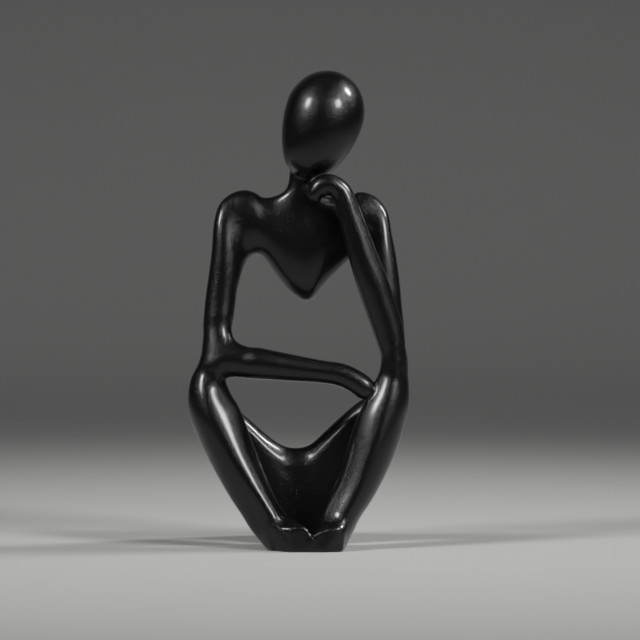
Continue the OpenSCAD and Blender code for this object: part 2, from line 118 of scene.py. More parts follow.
@dataclass(frozen=True)
class Plane:
    """A plane between two pieces, whose normal points out of the piece named first."""

    place: Array
    normal: Array

    def beyond(self) -> "Plane":
        """Return the same plane seen from the piece on its other side."""
        return Plane(self.place, -self.normal)

    def out(self, x: Array, y: Array, z: Array) -> Array:
        """Return how far points lie out of the piece."""
        n, o = self.normal, self.place
        return (x - o[0]) * n[0] + (y - o[1]) * n[1] + (z - o[2]) * n[2]

    def x_at(self, y: Array, z: Array) -> Array:
        """Return where the plane lies along X."""
        n, o = self.normal, self.place
        return o[0] - ((y - o[1]) * n[1] + (z - o[2]) * n[2]) / n[0]


class Side(Enum):
    """A side of the figure, as its sign along X."""

    RIGHT = -1
    LEFT = 1


@dataclass(frozen=True)
class LegJoints:
    """The places and planes where the pieces of one leg meet."""

    knee: Array
    ankle: Array
    seat: Array
    hip: Plane
    ankle_cut: Plane


class Joints:
    """The places and planes where the figure's pieces meet."""

    fold_lean = math.radians(10)
    hip_lean = math.radians(22)
    hip_spread = math.radians(19)

    def __init__(self, s: Sizes) -> None:
        """Work out every joint from the sizes, by shares of the half width and half depth.

        Args:
            s: The figure's sizes.
        """
        half, front, back = s.knee_span / 2, -s.body_d / 2, s.body_d / 2
        self.sizes, self.front_y, self.back_y = s, front, back
        self.chest_y = 0.04 * back
        chest_x, root_z = 0.06 * half, s.shoulder_h + 0.08 * s.root_h - s.root_h / 2
        self.right_shoulder = np.array([chest_x - s.chest_w / 2, self.chest_y, root_z])
        self.left_shoulder = np.array([chest_x + s.chest_w / 2, self.chest_y, root_z])
        self.right_elbow = np.array([-0.735 * half, 0.4 * front, s.elbow_h])
        self.left_elbow = np.array([0.857 * half, 0.4 * front, s.left_knee_h])
        x, y, _ = self.left_elbow
        self.left_wrist = np.array([x - 0.443 * half, y + 0.06 * back, s.shoulder_h - s.wrist_drop])
        self.right_hand = np.array([0.65 * half, 0.48 * front, 0.875 * s.right_knee_h])
        self.neck_x = 0.05 * s.neck_w
        self.neck_top = np.array([0.08 * s.head_w, 0.0, s.shoulder_h + s.neck_l])
        lean = math.radians(s.head_lean)
        axis = np.array([math.sin(lean), 0.0, math.cos(lean)])
        self.crown = self.neck_top + s.head_l * axis + np.array([0, -0.12 * s.head_d, 0])
        self.leg_fold = Plane(
            np.array([0, 0.32 * front, s.right_knee_h]),
            np.array([0, math.cos(self.fold_lean), math.sin(self.fold_lean)]),
        )
        self.feet_x = 0.108 * half
        crotch = np.array([0.03 * half, 0.26 * front, -0.11 * s.lap_h])
        self.legs: Dict[Side, LegJoints] = {}
        for side, knee_x, knee_h, ankle_x, seat_x, shin_turn in (
            (Side.RIGHT, -0.803, s.right_knee_h, -0.3, -0.355, 209),
            (Side.LEFT, 0.857, s.left_knee_h, 0.355, 0.39, 151),
        ):
            ankle = np.array([ankle_x * half, 0.56 * front, 1.3 * s.toe_h])
            self.legs[side] = LegJoints(
                np.array([knee_x * half, 0.4 * front, knee_h]),
                ankle,
                np.array([seat_x * half, 0.48 * back, 0.19 * s.lap_h]),
                Plane(crotch, self.hip_normal(side)),
                Plane(ankle, travel(shin_turn)),
            )

    def hip_normal(self, side: Side) -> Array:
        """Work out how a hip plane is turned.

        Args:
            side: The side of the hip.

        Returns:
            Its normal, which points out of the leg.
        """
        level, up = math.cos(self.hip_lean), math.sin(self.hip_lean)
        across = -side.value * level * math.cos(self.hip_spread)
        return np.array([across, level * math.sin(self.hip_spread), up])

    def out_of_lap(self, x: Array, y: Array, z: Array) -> Array:
        """Return how far points lie past the hip planes, out of the lap."""
        right, left = (self.legs[side].hip.beyond().out(x, y, z) for side in Side)
        return np.maximum(right, left)


# ---------------------------------------------------------------- distance to the skin

FLATTEST = 0.02  # least slope that values are evened by


class Space:
    """A block of grid points in millimetres, held as arrays in the order x, z, y."""

    far = 7.0  # stands for far from any skin
    reach = 4.0  # how far round a piece its distances are worked out
    fade = 1.6  # how steeply smoothing comes in from the edge of its place

    def __init__(self, low: Point, high: Point, step: float) -> None:
        """Lay out the grid.

        Args:
            low: Lowest corner.
            high: Highest corner.
            step: Distance between grid points.
        """
        self.step, self.low = step, np.array(low, float)
        self.x, self.y, self.z = (np.arange(a, b + step, step) for a, b in zip(low, high))
        self.shape = (len(self.x), len(self.z), len(self.y))

    def empty(self) -> Array:
        """Return distances that are far from any skin."""
        return np.full(self.shape, self.far, np.float32)

    def filled(self, window: Tuple[slice, ...], values: Array) -> Array:
        """Fill a window of the grid and leave the rest far from any skin.

        Args:
            window: The window.
            values: Distances in the window.

        Returns:
            Distances on the whole grid.
        """
        result = self.empty()
        result[window] = np.minimum(values, self.far)
        return result

    def local(
        self, low: Sequence[float], high: Sequence[float]
    ) -> Tuple[Tuple[slice, ...], Tuple[Array, ...]]:
        """Return the part of the grid that covers a box.

        Args:
            low: Lowest corner of the box.
            high: Highest corner of the box.

        Returns:
            Its window on the grid's arrays, and the x, y and z coordinates in it.
        """
        spans = []
        for axis, a, b in zip((self.x, self.y, self.z), low, high):
            first = int(np.clip(math.floor((a - axis[0]) / self.step), 0, len(axis) - 2))
            last = int(np.clip(math.ceil((b - axis[0]) / self.step) + 1, first + 2, len(axis)))
            spans.append(slice(first, last))
        wx, wy, wz = spans
        x, z = self.x[wx][:, None, None], self.z[wz][None, :, None]
        return (wx, wz, wy), (x, self.y[wy][None, None, :], z)

    def soothe(self, values: Array, centre: Array, reach: float, rounds: int) -> Array:
        """Smooth distances round a place, so that a crease there runs out.

        Args:
            values: Distances on the grid.
            centre: Middle of the place.
            reach: Distance from the middle at which the smoothing ends.
            rounds: Rounds of smoothing.

        Returns:
            The distances with the place smoothed.
        """
        window, (x, y, z) = self.local(centre - reach, centre + reach)
        away = (x - centre[0]) ** 2 + (y - centre[1]) ** 2 + (z - centre[2]) ** 2
        weight = np.clip(self.fade - self.fade * away / reach**2, 0.0, 1.0)
        change = calm(values[window], rounds) - values[window]
        out = values.copy()
        out[window] += change * weight * weight * (3 - 2 * weight)
        return out

    def sample(self, arrays: Sequence[Array], points: Array) -> Array:
        """Read grid values between the grid points.

        Args:
            arrays: Arrays of the grid's shape.
            points: Places in millimetres, as rows of x, y, z.

        Returns:
            A row for each place, with a value from each array.
        """
        g = ((points - self.low) / self.step)[:, [0, 2, 1]]
        i = np.clip(g.astype(int), 0, np.array(self.shape) - 2)
        f = (g - i).astype(np.float32)
        result = np.zeros((len(points), len(arrays)), np.float32)
        for corner in CORNERS:
            weight = np.prod(np.where(corner, f, 1 - f), axis=1)
            place = tuple((i + corner).T)
            for n, values in enumerate(arrays):
                result[:, n] += weight * values[place]
        return result


def softly(a: Array, b: Array, k: Union[float, Array]) -> Array:
    """Join two distances with a fillet about k wide."""
    h = np.clip(0.5 + 0.5 * (b - a) / k, 0, 1)
    return b + (a - b) * h - k * h * (1 - h)


def rounded_cut(a: Array, b: Array, k: Union[float, Array]) -> Array:
    """Keep what lies in both solids, with the edge between them rounded over about k."""
    return -softly(-a, -b, k)


def smooth(rows: Array, steps: int) -> Array:
    """Return rows on the smooth curve through a table.

    Args:
        rows: The table.
        steps: Rows made for each row of the table.

    Returns:
        The finer table.
    """
    last = len(rows) - 1
    s = np.linspace(0, last, steps * last + 1)
    i = np.minimum(s.astype(int), last - 1)
    t = (s - i)[:, None]
    a, b = rows[np.maximum(i - 1, 0)], rows[i]
    c, d = rows[i + 1], rows[np.minimum(i + 2, last)]
    curve = (2 * a - 5 * b + 4 * c - d) * t**2 / 2 + (3 * b - a - 3 * c + d) * t**3 / 2
    return b + (c - a) * t / 2 + curve


def calm(values: Array, rounds: int) -> Array:
    """Smooth distances everywhere.

    Args:
        values: Distances on a grid.
        rounds: Times that each value takes the mean of itself and its neighbours.

    Returns:
        The smoothed distances.
    """
    out = values.astype(np.float32)
    for _ in range(rounds):
        for axis in range(3):
            line = np.moveaxis(out, axis, 0)
            middle = line.copy()
            line[1:-1] = 0.5 * middle[1:-1] + 0.25 * (middle[:-2] + middle[2:])
    return out


def table(*columns: Union[float, Array]) -> Array:
    """Return rows made of columns, where a single number stands in every row."""
    return np.stack(np.broadcast_arrays(*columns), axis=1)


def even(values: Array, step: float) -> Array:
    """Turn a value that is zero on the skin into a distance near it."""
    size = np.sqrt(sum(g * g for g in np.gradient(values, step)))
    return values / np.maximum(size, FLATTEST)


def off_line(start: Array, end: Array, places: Sequence[Array]) -> Array:
    """Measure how far places lie from a straight line.

    Args:
        start: One end of the line.
        end: Its other end.
        places: Their x, y and z.

    Returns:
        The distances.
    """
    along = end - start
    off = [place - s for place, s in zip(places, start)]
    at = np.clip(sum(o * a for o, a in zip(off, along)) / float(along @ along), 0.0, 1.0)
    return np.sqrt(sum((o - at * a) ** 2 for o, a in zip(off, along)))


def unit_rows(rows: Array) -> Array:
    """Return rows at length 1."""
    return rows / np.maximum(np.linalg.norm(rows, axis=1), TINY)[:, None]


@dataclass
class Limb:
    """A limb of oval sections: rows of place, half width, turn and half depth.

    A further value moves the foremost line of a section to that share of its half
    width, and fullness under 2 draws the front of the sections to a ridge there.
    """

    rows: Array
    fullness: float = 2.0
    first_round: float = 0.0
    final_round: float = 0.0
    calming: int = 5  # rounds of smoothing
    thinnest: float = 0.12  # least half width and half depth
    slack: float = 2.0  # how far past its rows a stretch still counts
    shift_reach: float = 1.4  # half widths over which the shift works
    distance: Array = field(init=False, repr=False)
    station: Array = field(init=False, repr=False)

    @classmethod
    def between(
        cls,
        start: Array,
        end: Array,
        widths: Tuple[float, float],
        depth: float,
        shares: Rows,
    ) -> "Limb":
        """Make a limb between two joints.

        Args:
            start: The joint where it starts.
            end: The joint where it ends.
            widths: The two widths that the table shares out.
            depth: The depth that the table shares out.
            shares: Rows of shares along X, forward, along Z, of both widths, turn, of depth,
                and where the foremost line isn't in the middle, its share of the half width.

        Returns:
            The limb.
        """
        s = np.asarray(shares, float).T
        return cls(
            table(
                start[0] + s[0] * (end[0] - start[0]),
                start[1] + s[2] * (end[1] - start[1]) - s[1] * depth,
                start[2] + s[2] * (end[2] - start[2]),
                s[3] * widths[0] + s[4] * widths[1],
                s[5],
                s[6] * depth,
                *s[7:],
            )
        )

    def backwards(self) -> Array:
        """Turn the limb round.

        Returns:
            The rows from the other end, turned to run that way.
        """
        rows = self.rows[::-1].copy()
        rows[:, 4] += 180
        return rows

    def section(self, c: Array, x: Array, y: Array, z: Array) -> Array:
        """Measure how far points lie out of oval sections.

        Args:
            c: The row of the section that each line of points along Y lies in.
            x: Where each line lies along X.
            y: Places on the lines.
            z: Height of each line.

        Returns:
            A distance for each point of each line.
        """
        middle_x, middle_y, middle_z, half_w, turn, half_d = (c[:, [n]] for n in range(6))
        turn = np.radians(turn)
        u = ((x - middle_x) * np.cos(turn) + (z - middle_z) * np.sin(turn)) / half_w
        v = (y - middle_y) / half_d
        if c.shape[1] > 6:
            shift = c[:, 6:] * np.clip(-2 * v, 0, 1)  # in the front half alone
            near = np.clip(u, -self.shift_reach, self.shift_reach)
            u = (near - shift) / (1 - shift * near) + u - near
        size = np.sqrt(u * u + v * v) + TINY
        if self.fullness < 2:
            power = self.fullness
            ridged = (np.abs(u) ** power + np.abs(v) ** power) ** (1 / power) + TINY
            size = np.where(v < 0, ridged, size)
        slope = np.sqrt((u / half_w) ** 2 + (v / half_d) ** 2) + TINY
        return size * (size - 1) / slope

    def measure(self, space: Space) -> "Limb":
        """Fill the limb's distances, and the row that each grid point lies nearest.

        Args:
            space: The grid.

        Returns:
            The limb itself.
        """
        distance, self.station = space.empty(), np.zeros(space.shape, np.float32)
        fine = smooth(self.rows, STEPS)
        halves, last = [3, 5], len(fine) - 2
        fine[:, halves] = np.maximum(fine[:, halves], self.thinnest)
        for k, (p, q) in enumerate(zip(fine, fine[1:])):
            wide, deep = np.maximum(p[halves], q[halves]) + space.reach
            span, ends = np.array([wide, deep, wide]), np.stack([p[:3], q[:3]])
            window, (x, y, z) = space.local(ends.min(axis=0) - span, ends.max(axis=0) + span)
            x, z = x[:, :, 0], z[:, :, 0]
            n, m = travel(p[4]), travel(q[4])
            a = (x - p[0]) * n[0] + (z - p[2]) * n[2]
            b = (q[0] - x) * m[0] + (q[2] - z) * m[2]
            slack = space.reach if k in (0, last) else self.slack
            ix, iz = np.nonzero((a > -slack) & (b > -slack))
            a, b = a[ix, iz][:, None], b[ix, iz][:, None]
            past = np.maximum(np.maximum(-a, -b), 0)
            a, b = np.maximum(a, 0), np.maximum(b, 0)
            t = a / np.maximum(a + b, TINY)
            d = self.section(p + t * (q - p), x[ix], y[0], z[0, iz][:, None])
            edge = {0: self.first_round, last: self.final_round}.get(k, 0.0)
            end = rounded_cut(d, past, edge) if edge else np.maximum(d, past)
            d = np.where(past > 0, end, d)
            best, row = distance[window], self.station[window]
            near = d < best[ix, iz]
            row[ix, iz] = np.where(near, (k + t) / STEPS, row[ix, iz])
            best[ix, iz] = np.where(near, d, best[ix, iz])
        self.distance = calm(distance, self.calming)
        return self


# ---------------------------------------------------------------- the skin as meshes

PULLS = 4  # times that the vertices are pulled onto the skin
LEAST_SLOPE = 0.2  # least squared slope that a pull is divided by
CUT_MARGIN = 0.1  # share of an edge at both ends in which it isn't cut


@dataclass
class Skin:
    """A triangle mesh of the whole skin, with values at its vertices."""

    points: Array
    normals: Array
    values: Array
    faces: Array

    @classmethod
    def over(cls, space: Space, solid: Array, columns: Sequence[Array]) -> "Skin":
        """Lay a mesh over the place where the distance is zero.

        Args:
            space: The grid.
            solid: Distance to the skin, negative inside.
            columns: Other grid arrays whose values the vertices keep, in this order.

        Returns:
            The skin.
        """
        inside = solid < 0
        count = np.zeros(tuple(n - 1 for n in solid.shape), np.int8)
        for corner in CORNERS:
            count += inside[tuple(slice(a, a + n) for a, n in zip(corner, count.shape))]
        cells = np.argwhere((count > 0) & (count < len(CORNERS)))
        number = np.full(count.shape, -1, np.int32)
        number[tuple(cells.T)] = np.arange(len(cells))
        points = space.low + cls._crossings(solid, cells)[:, [0, 2, 1]] * space.step
        across, up, deep = (g.astype(np.float32) for g in np.gradient(solid, space.step))
        slopes, most = (across, deep, up), space.step / 2
        for _ in range(PULLS):
            value, slope = space.sample([solid], points), space.sample(slopes, points)
            push = value / np.maximum((slope**2).sum(axis=1), LEAST_SLOPE)[:, None]
            points -= np.clip(push, -most, most) * slope
        normals = unit_rows(space.sample(slopes, points))
        faces = cls._triangles(points, normals, cls._quads(inside, number))
        return cls(points, normals, space.sample(columns, points), faces)

    @staticmethod
    def _crossings(solid: Array, cells: Array) -> Array:
        """Find the middle of the places where the edges of each cell cross the skin.

        Args:
            solid: Distance to the skin.
            cells: The cells that the skin runs through.

        Returns:
            A place on the grid for each cell.
        """
        total, crossed = np.zeros((len(cells), 3)), np.zeros(len(cells))
        for axis, along in enumerate(np.eye(3, dtype=int)):
            for start in (np.array(corner) for corner in CORNERS if not corner[axis]):
                v0, v1 = (solid[tuple((cells + place).T)] for place in (start, start + along))
                cut = (v0 < 0) != (v1 < 0)
                t = np.where(cut, v0 / np.where(cut, v0 - v1, 1), 0)
                total += cut[:, None] * (start + t[:, None] * along)
                crossed += cut
        return cells + total / crossed[:, None]

    @staticmethod
    def _quads(inside: Array, number: Array) -> Array:
        """Lay a quad of four cells round each grid edge that crosses the skin.

        Args:
            inside: Whether each grid point lies inside.
            number: The vertex of each cell.

        Returns:
            Four vertices for each quad.
        """
        found = []
        for axis in range(3):
            edges = np.argwhere(np.diff(inside, axis=axis))
            a, b = (n for n in range(3) if n != axis)
            inner = (edges > 0) & (edges < np.array(inside.shape) - 1)
            edges = edges[inner[:, a] & inner[:, b]]
            step_a, step_b = np.eye(3, dtype=int)[[a, b]]
            ring = [edges - step_a - step_b, edges - step_b, edges, edges - step_a]
            found.append(np.stack([number[tuple(c.T)] for c in ring], axis=1))
        return np.concatenate(found)

    @staticmethod
    def _triangles(points: Array, normals: Array, quads: Array) -> Array:
        """Split quads along their shorter diagonal, wound to face outward.

        Args:
            points: The vertices.
            normals: Their normals.
            quads: Four vertices for each quad.

        Returns:
            Three vertices for each triangle.
        """
        p = points[quads]
        first, second = p[:, 2] - p[:, 0], p[:, 3] - p[:, 1]
        short = np.linalg.norm(first, axis=1) <= np.linalg.norm(second, axis=1)
        one = np.where(short[:, None], quads[:, [0, 1, 2]], quads[:, [0, 1, 3]])
        two = np.where(short[:, None], quads[:, [0, 2, 3]], quads[:, [1, 2, 3]])
        wrong = (np.cross(first, second) * normals[quads].sum(axis=1)).sum(axis=1) < 0
        one[wrong], two[wrong] = one[wrong][:, ::-1], two[wrong][:, ::-1]
        return np.concatenate([one, two])

    @staticmethod
    def _edges(faces: Array) -> Array:
        """Return the edges of triangles, in the direction in which they are wound."""
        return np.concatenate([faces[:, [0, 1]], faces[:, [1, 2]], faces[:, [2, 0]]])

    def split(self, level: Array) -> Tuple["Skin", "Skin"]:
        """Cut the mesh where a value at its vertices changes sign.

        Args:
            level: One value for each vertex.

        Returns:
            The skin where the value is negative, and the rest.
        """
        below = level < 0
        count = below[self.faces].sum(axis=1)
        mixed = self.faces[(count > 0) & (count < 3)]
        edges = np.sort(self._edges(mixed), axis=1)
        edges = np.unique(edges[below[edges[:, 0]] != below[edges[:, 1]]], axis=0)
        a, b = edges.T
        t = np.clip(level[a] / (level[a] - level[b]), CUT_MARGIN, 1 - CUT_MARGIN)[:, None]
        points, normals, values = (
            np.concatenate([v, v[a] * (1 - t) + v[b] * t])
            for v in (self.points, self.normals, self.values)
        )
        normals = unit_rows(normals)
        extra = {(int(i), int(j)): len(self.points) + k for k, (i, j) in enumerate(edges)}
        parts = {True: [self.faces[count == 3]], False: [self.faces[count == 0]]}
        for face in mixed:
            side = below[face]
            alone = int(np.argmax(side if side.sum() == 1 else ~side))
            i, j, k = (int(face[(alone + n) % 3]) for n in range(3))
            ij, ik = (extra[(min(i, n), max(i, n))] for n in (j, k))
            parts[bool(below[i])].append(np.array([(i, ij, ik)]))
            parts[not below[i]].append(np.array([(ij, j, k), (ij, k, ik)]))
        kept, rest = (
            Skin(points, normals, values, np.concatenate(parts[part])).tidy()
            for part in (True, False)
        )
        return kept, rest

    def tidy(self) -> "Skin":
        """Drop the vertices that no face uses."""
        used, faces = np.unique(self.faces, return_inverse=True)
        return Skin(self.points[used], self.normals[used], self.values[used], faces.reshape(-1, 3))

    def closed(self) -> Tuple[Array, Array, int]:
        """Close the openings where the mesh was cut, inside the figure.

        Returns:
            Points, faces, and the number of faces that are skin.
        """
        edges = self._edges(self.faces)
        pairs, place = np.unique(np.sort(edges, axis=1), axis=0, return_inverse=True)
        ways = np.where(edges[:, 0] < edges[:, 1], 1, -1)
        surplus = np.bincount(place.ravel(), ways, len(pairs)).astype(int)
        onward: Dict[int, List[int]] = {}
        for n in np.nonzero(surplus)[0]:
            a, b = (int(i) for i in (pairs[n] if surplus[n] > 0 else pairs[n][::-1]))
            onward.setdefault(a, []).extend([b] * abs(int(surplus[n])))
        points, faces = [self.points], [self.faces]
        while onward:
            start = next(iter(onward))
            loop, here = [start], start
            while True:
                choices = onward[here]
                here = choices.pop()
                if not choices:
                    del onward[loop[-1]]
                if here == start:
                    break
                loop.append(here)
            middle = len(self.points) + len(points) - 1
            points.append(self.points[loop].mean(axis=0)[None, :])
            faces.append(np.array([(b, a, middle) for a, b in zip(loop, loop[1:] + loop[:1])]))
        return np.concatenate(points), np.concatenate(faces), len(self.faces)


def add_mesh(
    name: str, points: Sequence, faces: Sequence, shown: int, material: bpy.types.Material
) -> bpy.types.Object:
    """Add a mesh to the scene.

    Args:
        name: Name of the mesh and of its object.
        points: Its vertices in metres.
        faces: Its faces.
        shown: How many faces, from the first, are shaded smooth.
        material: Its finish.

    Returns:
        The object.
    """
    mesh = bpy.data.meshes.new(name)
    mesh.from_pydata(np.asarray(points).tolist(), [], np.asarray(faces).tolist())
    mesh.polygons.foreach_set("use_smooth", [n < shown for n in range(len(faces))])
    mesh.materials.append(material)
    mesh.update()
    made = bpy.data.objects.new(name, mesh)
    bpy.context.scene.collection.objects.link(made)
    return made


# ---------------------------------------------------------------- finishes

Link = Union["Signal", float]


class Signal:
    """A shader value whose arithmetic adds Math nodes."""

    def __init__(self, tree: "Tree", socket: bpy.types.NodeSocket) -> None:
        """Wrap an output socket."""
        self.tree, self.socket = tree, socket

    def _math(self, operation: str, a: Link, b: Link) -> "Signal":
        """Add a Math node on two values."""
        return self.tree.node("ShaderNodeMath", {"operation": operation}, {0: a, 1: b})

    def __add__(self, other: Link) -> "Signal":
        """Add a value."""
        return self._math("ADD", self, other)

    __radd__ = __add__

    def __sub__(self, other: Link) -> "Signal":
        """Take a value away."""
        return self._math("SUBTRACT", self, other)

    def __rsub__(self, other: Link) -> "Signal":
        """Take this value away from another."""
        return self._math("SUBTRACT", other, self)

    def __mul__(self, other: Link) -> "Signal":
        """Multiply by a value."""
        return self._math("MULTIPLY", self, other)

    __rmul__ = __mul__


class Tree:
    """The node tree of one material."""

    def __init__(self, name: str) -> None:
        """Start an empty material.

        Args:
            name: The material's name.
        """
        self.material = bpy.data.materials.new(name)
        self.material.use_nodes = True
        self.nodes, self.links = self.material.node_tree.nodes, self.material.node_tree.links
        self.nodes.clear()

    def node(
        self,
        kind: str,
        settings: Optional[Dict[str, object]] = None,
        inputs: Optional[Dict[Union[int, str], object]] = None,
        output: Union[int, str] = 0,
    ) -> Signal:
        """Add any node.

        Args:
            kind: The node's type.
            settings: Its own settings, set first.
            inputs: Values or signals for its sockets, by name or number.
            output: The output that is returned.

        Returns:
            The output as a signal.
        """
        made = self.nodes.new(kind)
        for key, value in (settings or {}).items():
            setattr(made, key, value)
        for key, value in (inputs or {}).items():
            socket = made.inputs[key]
            if isinstance(value, Signal):
                self.links.new(value.socket, socket)
            else:
                socket.default_value = (*value, 1.0) if socket.type == "RGBA" else value
        return Signal(self, made.outputs[output])

    def noise(self, scale: float, detail: float = 2.0, stretch: Point = (1.0, 1.0, 1.0)) -> Signal:
        """Add noise over the object's own coordinates.

        Args:
            scale: Waves per metre.
            detail: Finer layers of noise.
            stretch: Scale along each axis.

        Returns:
            The noise, about 0 to 1.
        """
        place = self.node("ShaderNodeTexCoord", output="Object")
        laid = self.node("ShaderNodeMapping", None, {"Vector": place, "Scale": stretch})
        inputs = {"Vector": laid, "Scale": scale, "Detail": detail}
        return self.node("ShaderNodeTexNoise", None, inputs, "Fac")

    def ramp(self, value: Signal, low: float, high: float, kind: str = "LINEAR") -> Signal:
        """Turn a range of a value into 0 to 1."""
        inputs = {"Value": value, "From Min": low, "From Max": high}
        return self.node("ShaderNodeMapRange", {"interpolation_type": kind}, inputs)

    def mix(self, factor: Link, a: object, b: object) -> Signal:
        """Mix two colours."""
        return self.node("ShaderNodeMix", {"data_type": "RGBA"}, {0: factor, 6: a, 7: b}, 2)

    def bump(self, height: Signal, strength: float, distance: float, **below: Signal) -> Signal:
        """Bump the surface by a height, over the Normal below it where there is one."""
        inputs = {"Strength": strength, "Distance": distance, "Height": height, **below}
        return self.node("ShaderNodeBump", None, inputs)

    def surface(self, inputs: Dict[str, object]) -> bpy.types.Material:
        """Finish the material with a Principled surface.

        Args:
            inputs: Values or signals for its sockets.

        Returns:
            The material.
        """
        shader = self.node("ShaderNodeBsdfPrincipled", None, inputs)
        end = self.nodes.new("ShaderNodeOutputMaterial")
        self.links.new(shader.socket, end.inputs["Surface"])
        return self.material


@dataclass(frozen=True)
class Lacquer:
    """Black lacquer over a cast body, a little uneven and faintly dusty.

    Patterns are in waves per metre, and the relief of the surface is in metres.
    """

    colour: Point = (0.0026, 0.0026, 0.0028)
    dusty: Point = (0.005, 0.005, 0.0054)
    cloud_waves: float = 55.0
    clouds: Tuple[float, float] = (0.45, 0.75)
    cloud_dust: float = 0.25
    speck_waves: float = 2600.0
    specks: Tuple[float, float] = (0.7, 0.78)
    speck_dust: float = 0.6
    speck_roughness: float = 0.12
    roughness: float = 0.22
    wander: float = 0.05
    ior: float = 1.32
    gloss: float = 0.75
    gloss_wander: float = 0.2
    gloss_roughness: float = 0.17
    gloss_ior: float = 1.36
    relief: float = 0.0002
    peel_waves: float = 260.0
    peel: float = 0.2
    grain_waves: float = 2400.0
    grain: float = 0.8

    def material(self) -> bpy.types.Material:
        """Build the material.

        Returns:
            The material.
        """
        tree = Tree("black_lacquer")
        broad = tree.noise(self.cloud_waves, detail=3.0)
        uneven = broad - 0.5
        specks = tree.ramp(tree.noise(self.speck_waves, detail=1.0), *self.specks)
        dust = specks * self.speck_dust + tree.ramp(broad, *self.clouds) * self.cloud_dust
        grain = tree.bump(tree.noise(self.grain_waves), self.grain, self.relief)
        peel = tree.bump(tree.noise(self.peel_waves), self.peel, self.relief, Normal=grain)
        return tree.surface(
            {
                "Base Color": tree.mix(dust, self.colour, self.dusty),
                "Roughness": self.roughness + uneven * self.wander + specks * self.speck_roughness,
                "IOR": self.ior,
                "Coat Weight": self.gloss + uneven * self.gloss_wander,
                "Coat Roughness": self.gloss_roughness,
                "Coat IOR": self.gloss_ior,
                "Normal": peel,
            }
        )


@dataclass(frozen=True)
class PinSteel:
    """Ground steel, with fine scratches round the pins."""

    colour: Point = (0.52, 0.53, 0.55)
    dark: Point = (0.36, 0.37, 0.39)
    scratch_waves: float = 1500.0
    stretch: Point = (1.0, 1.0, 8.0)
    scratches: Tuple[float, float] = (0.35, 0.7)
    scratch: float = 0.2
    relief: float = 0.0001
    roughness: float = 0.3
    wander: float = 0.15

    def material(self) -> bpy.types.Material:
        """Build the material.

        Returns:
            The material.
        """
        tree = Tree("pin_steel")
        lines = tree.noise(self.scratch_waves, detail=3.0, stretch=self.stretch)
        mask = tree.ramp(lines, *self.scratches)
        return tree.surface(
            {
                "Base Color": tree.mix(mask, self.dark, self.colour),
                "Metallic": 1.0,
                "Roughness": self.roughness + lines * self.wander,
                "Normal": tree.bump(lines, self.scratch, self.relief),
            }
        )


@dataclass(frozen=True)
class Paper:
    """Matt studio paper, which turns into a far colour between two distances in metres from its
    origin: painted light, a pale pool that falls off into painted shade.
    """

    name: str
    colour: Point
    # painted light: the far colour and the turns lay a pale pool round the origin that falls off
    # into painted shade
    painted_falloff_colour: Optional[Point] = None
    turns: Tuple[float, float] = (0.18, 0.5)
    fibre_waves: float = 40.0
    fibre_shade: float = 0.97
    roughness: float = 0.9

    def material(self) -> bpy.types.Material:
        """Build the material.

        Returns:
            The material.
        """
        tree = Tree(self.name)
        shade = tuple(self.fibre_shade * c for c in self.colour)
        fibres = tree.noise(self.fibre_waves, detail=4.0)
        colour = tree.mix(fibres, shade, self.colour)
        # painted light: paler near the origin and darkening outward into painted shade, as a lamp's
        # pool falls off
        if self.painted_falloff_colour:
            place = tree.node("ShaderNodeTexCoord", output="Object")
            away = tree.node("ShaderNodeVectorMath", {"operation": "LENGTH"}, {0: place}, "Value")
            fade = tree.ramp(away, *self.turns, "SMOOTHSTEP")
            colour = tree.mix(fade, colour, self.painted_falloff_colour)
        return tree.surface({"Base Color": colour, "Roughness": self.roughness})


# ---------------------------------------------------------------- sub-assemblies


@dataclass
class Head:
    """The egg-shaped head, leaning to the figure's left and a little forward."""

    joints: Joints
    shares: Rows = (
        (-0.028, 0.06, -0.028, 0.05, 0, 0, 0.06),
        (-0.02, 0.06, -0.02, 0.15, 0, 0, 0.18),
        (0.006, 0.06, 0.006, 0.22, 0, 0, 0.255),
        (0.05, 0.08, 0.06, 0.3, 0, 0, 0.32),
        (0.17, 0.09, 0.18, 0.385, 0, 0, 0.4),
        (0.34, 0.06, 0.34, 0.46, 0, 0, 0.465),
        (0.52, 0.015, 0.52, 0.5, 0, 0, 0.5),
        (0.68, -0.03, 0.68, 0.495, 0, 0, 0.485),
        (0.82, -0.065, 0.82, 0.42, 0, 0, 0.41),
        (0.92, -0.09, 0.92, 0.31, 0, 0, 0.3),
        (0.975, -0.1, 0.975, 0.18, 0, 0, 0.175),
        (0.995, -0.1, 0.995, 0.08, 0, 0, 0.08),
        (1, -0.1, 1, 0.01, 0, 0, 0.01),
    )
    limb: Limb = field(init=False)

    def shape(self, space: Space) -> Array:
        """Measure the head.

        Args:
            space: The grid.

        Returns:
            Distances to the head.
        """
        s, j = self.joints.sizes, self.joints
        self.limb = Limb.between(j.neck_top, j.crown, (s.head_w, 0), s.head_d, self.shares)
        self.limb.rows[:, 4] = -s.head_lean
        return self.limb.measure(space).distance


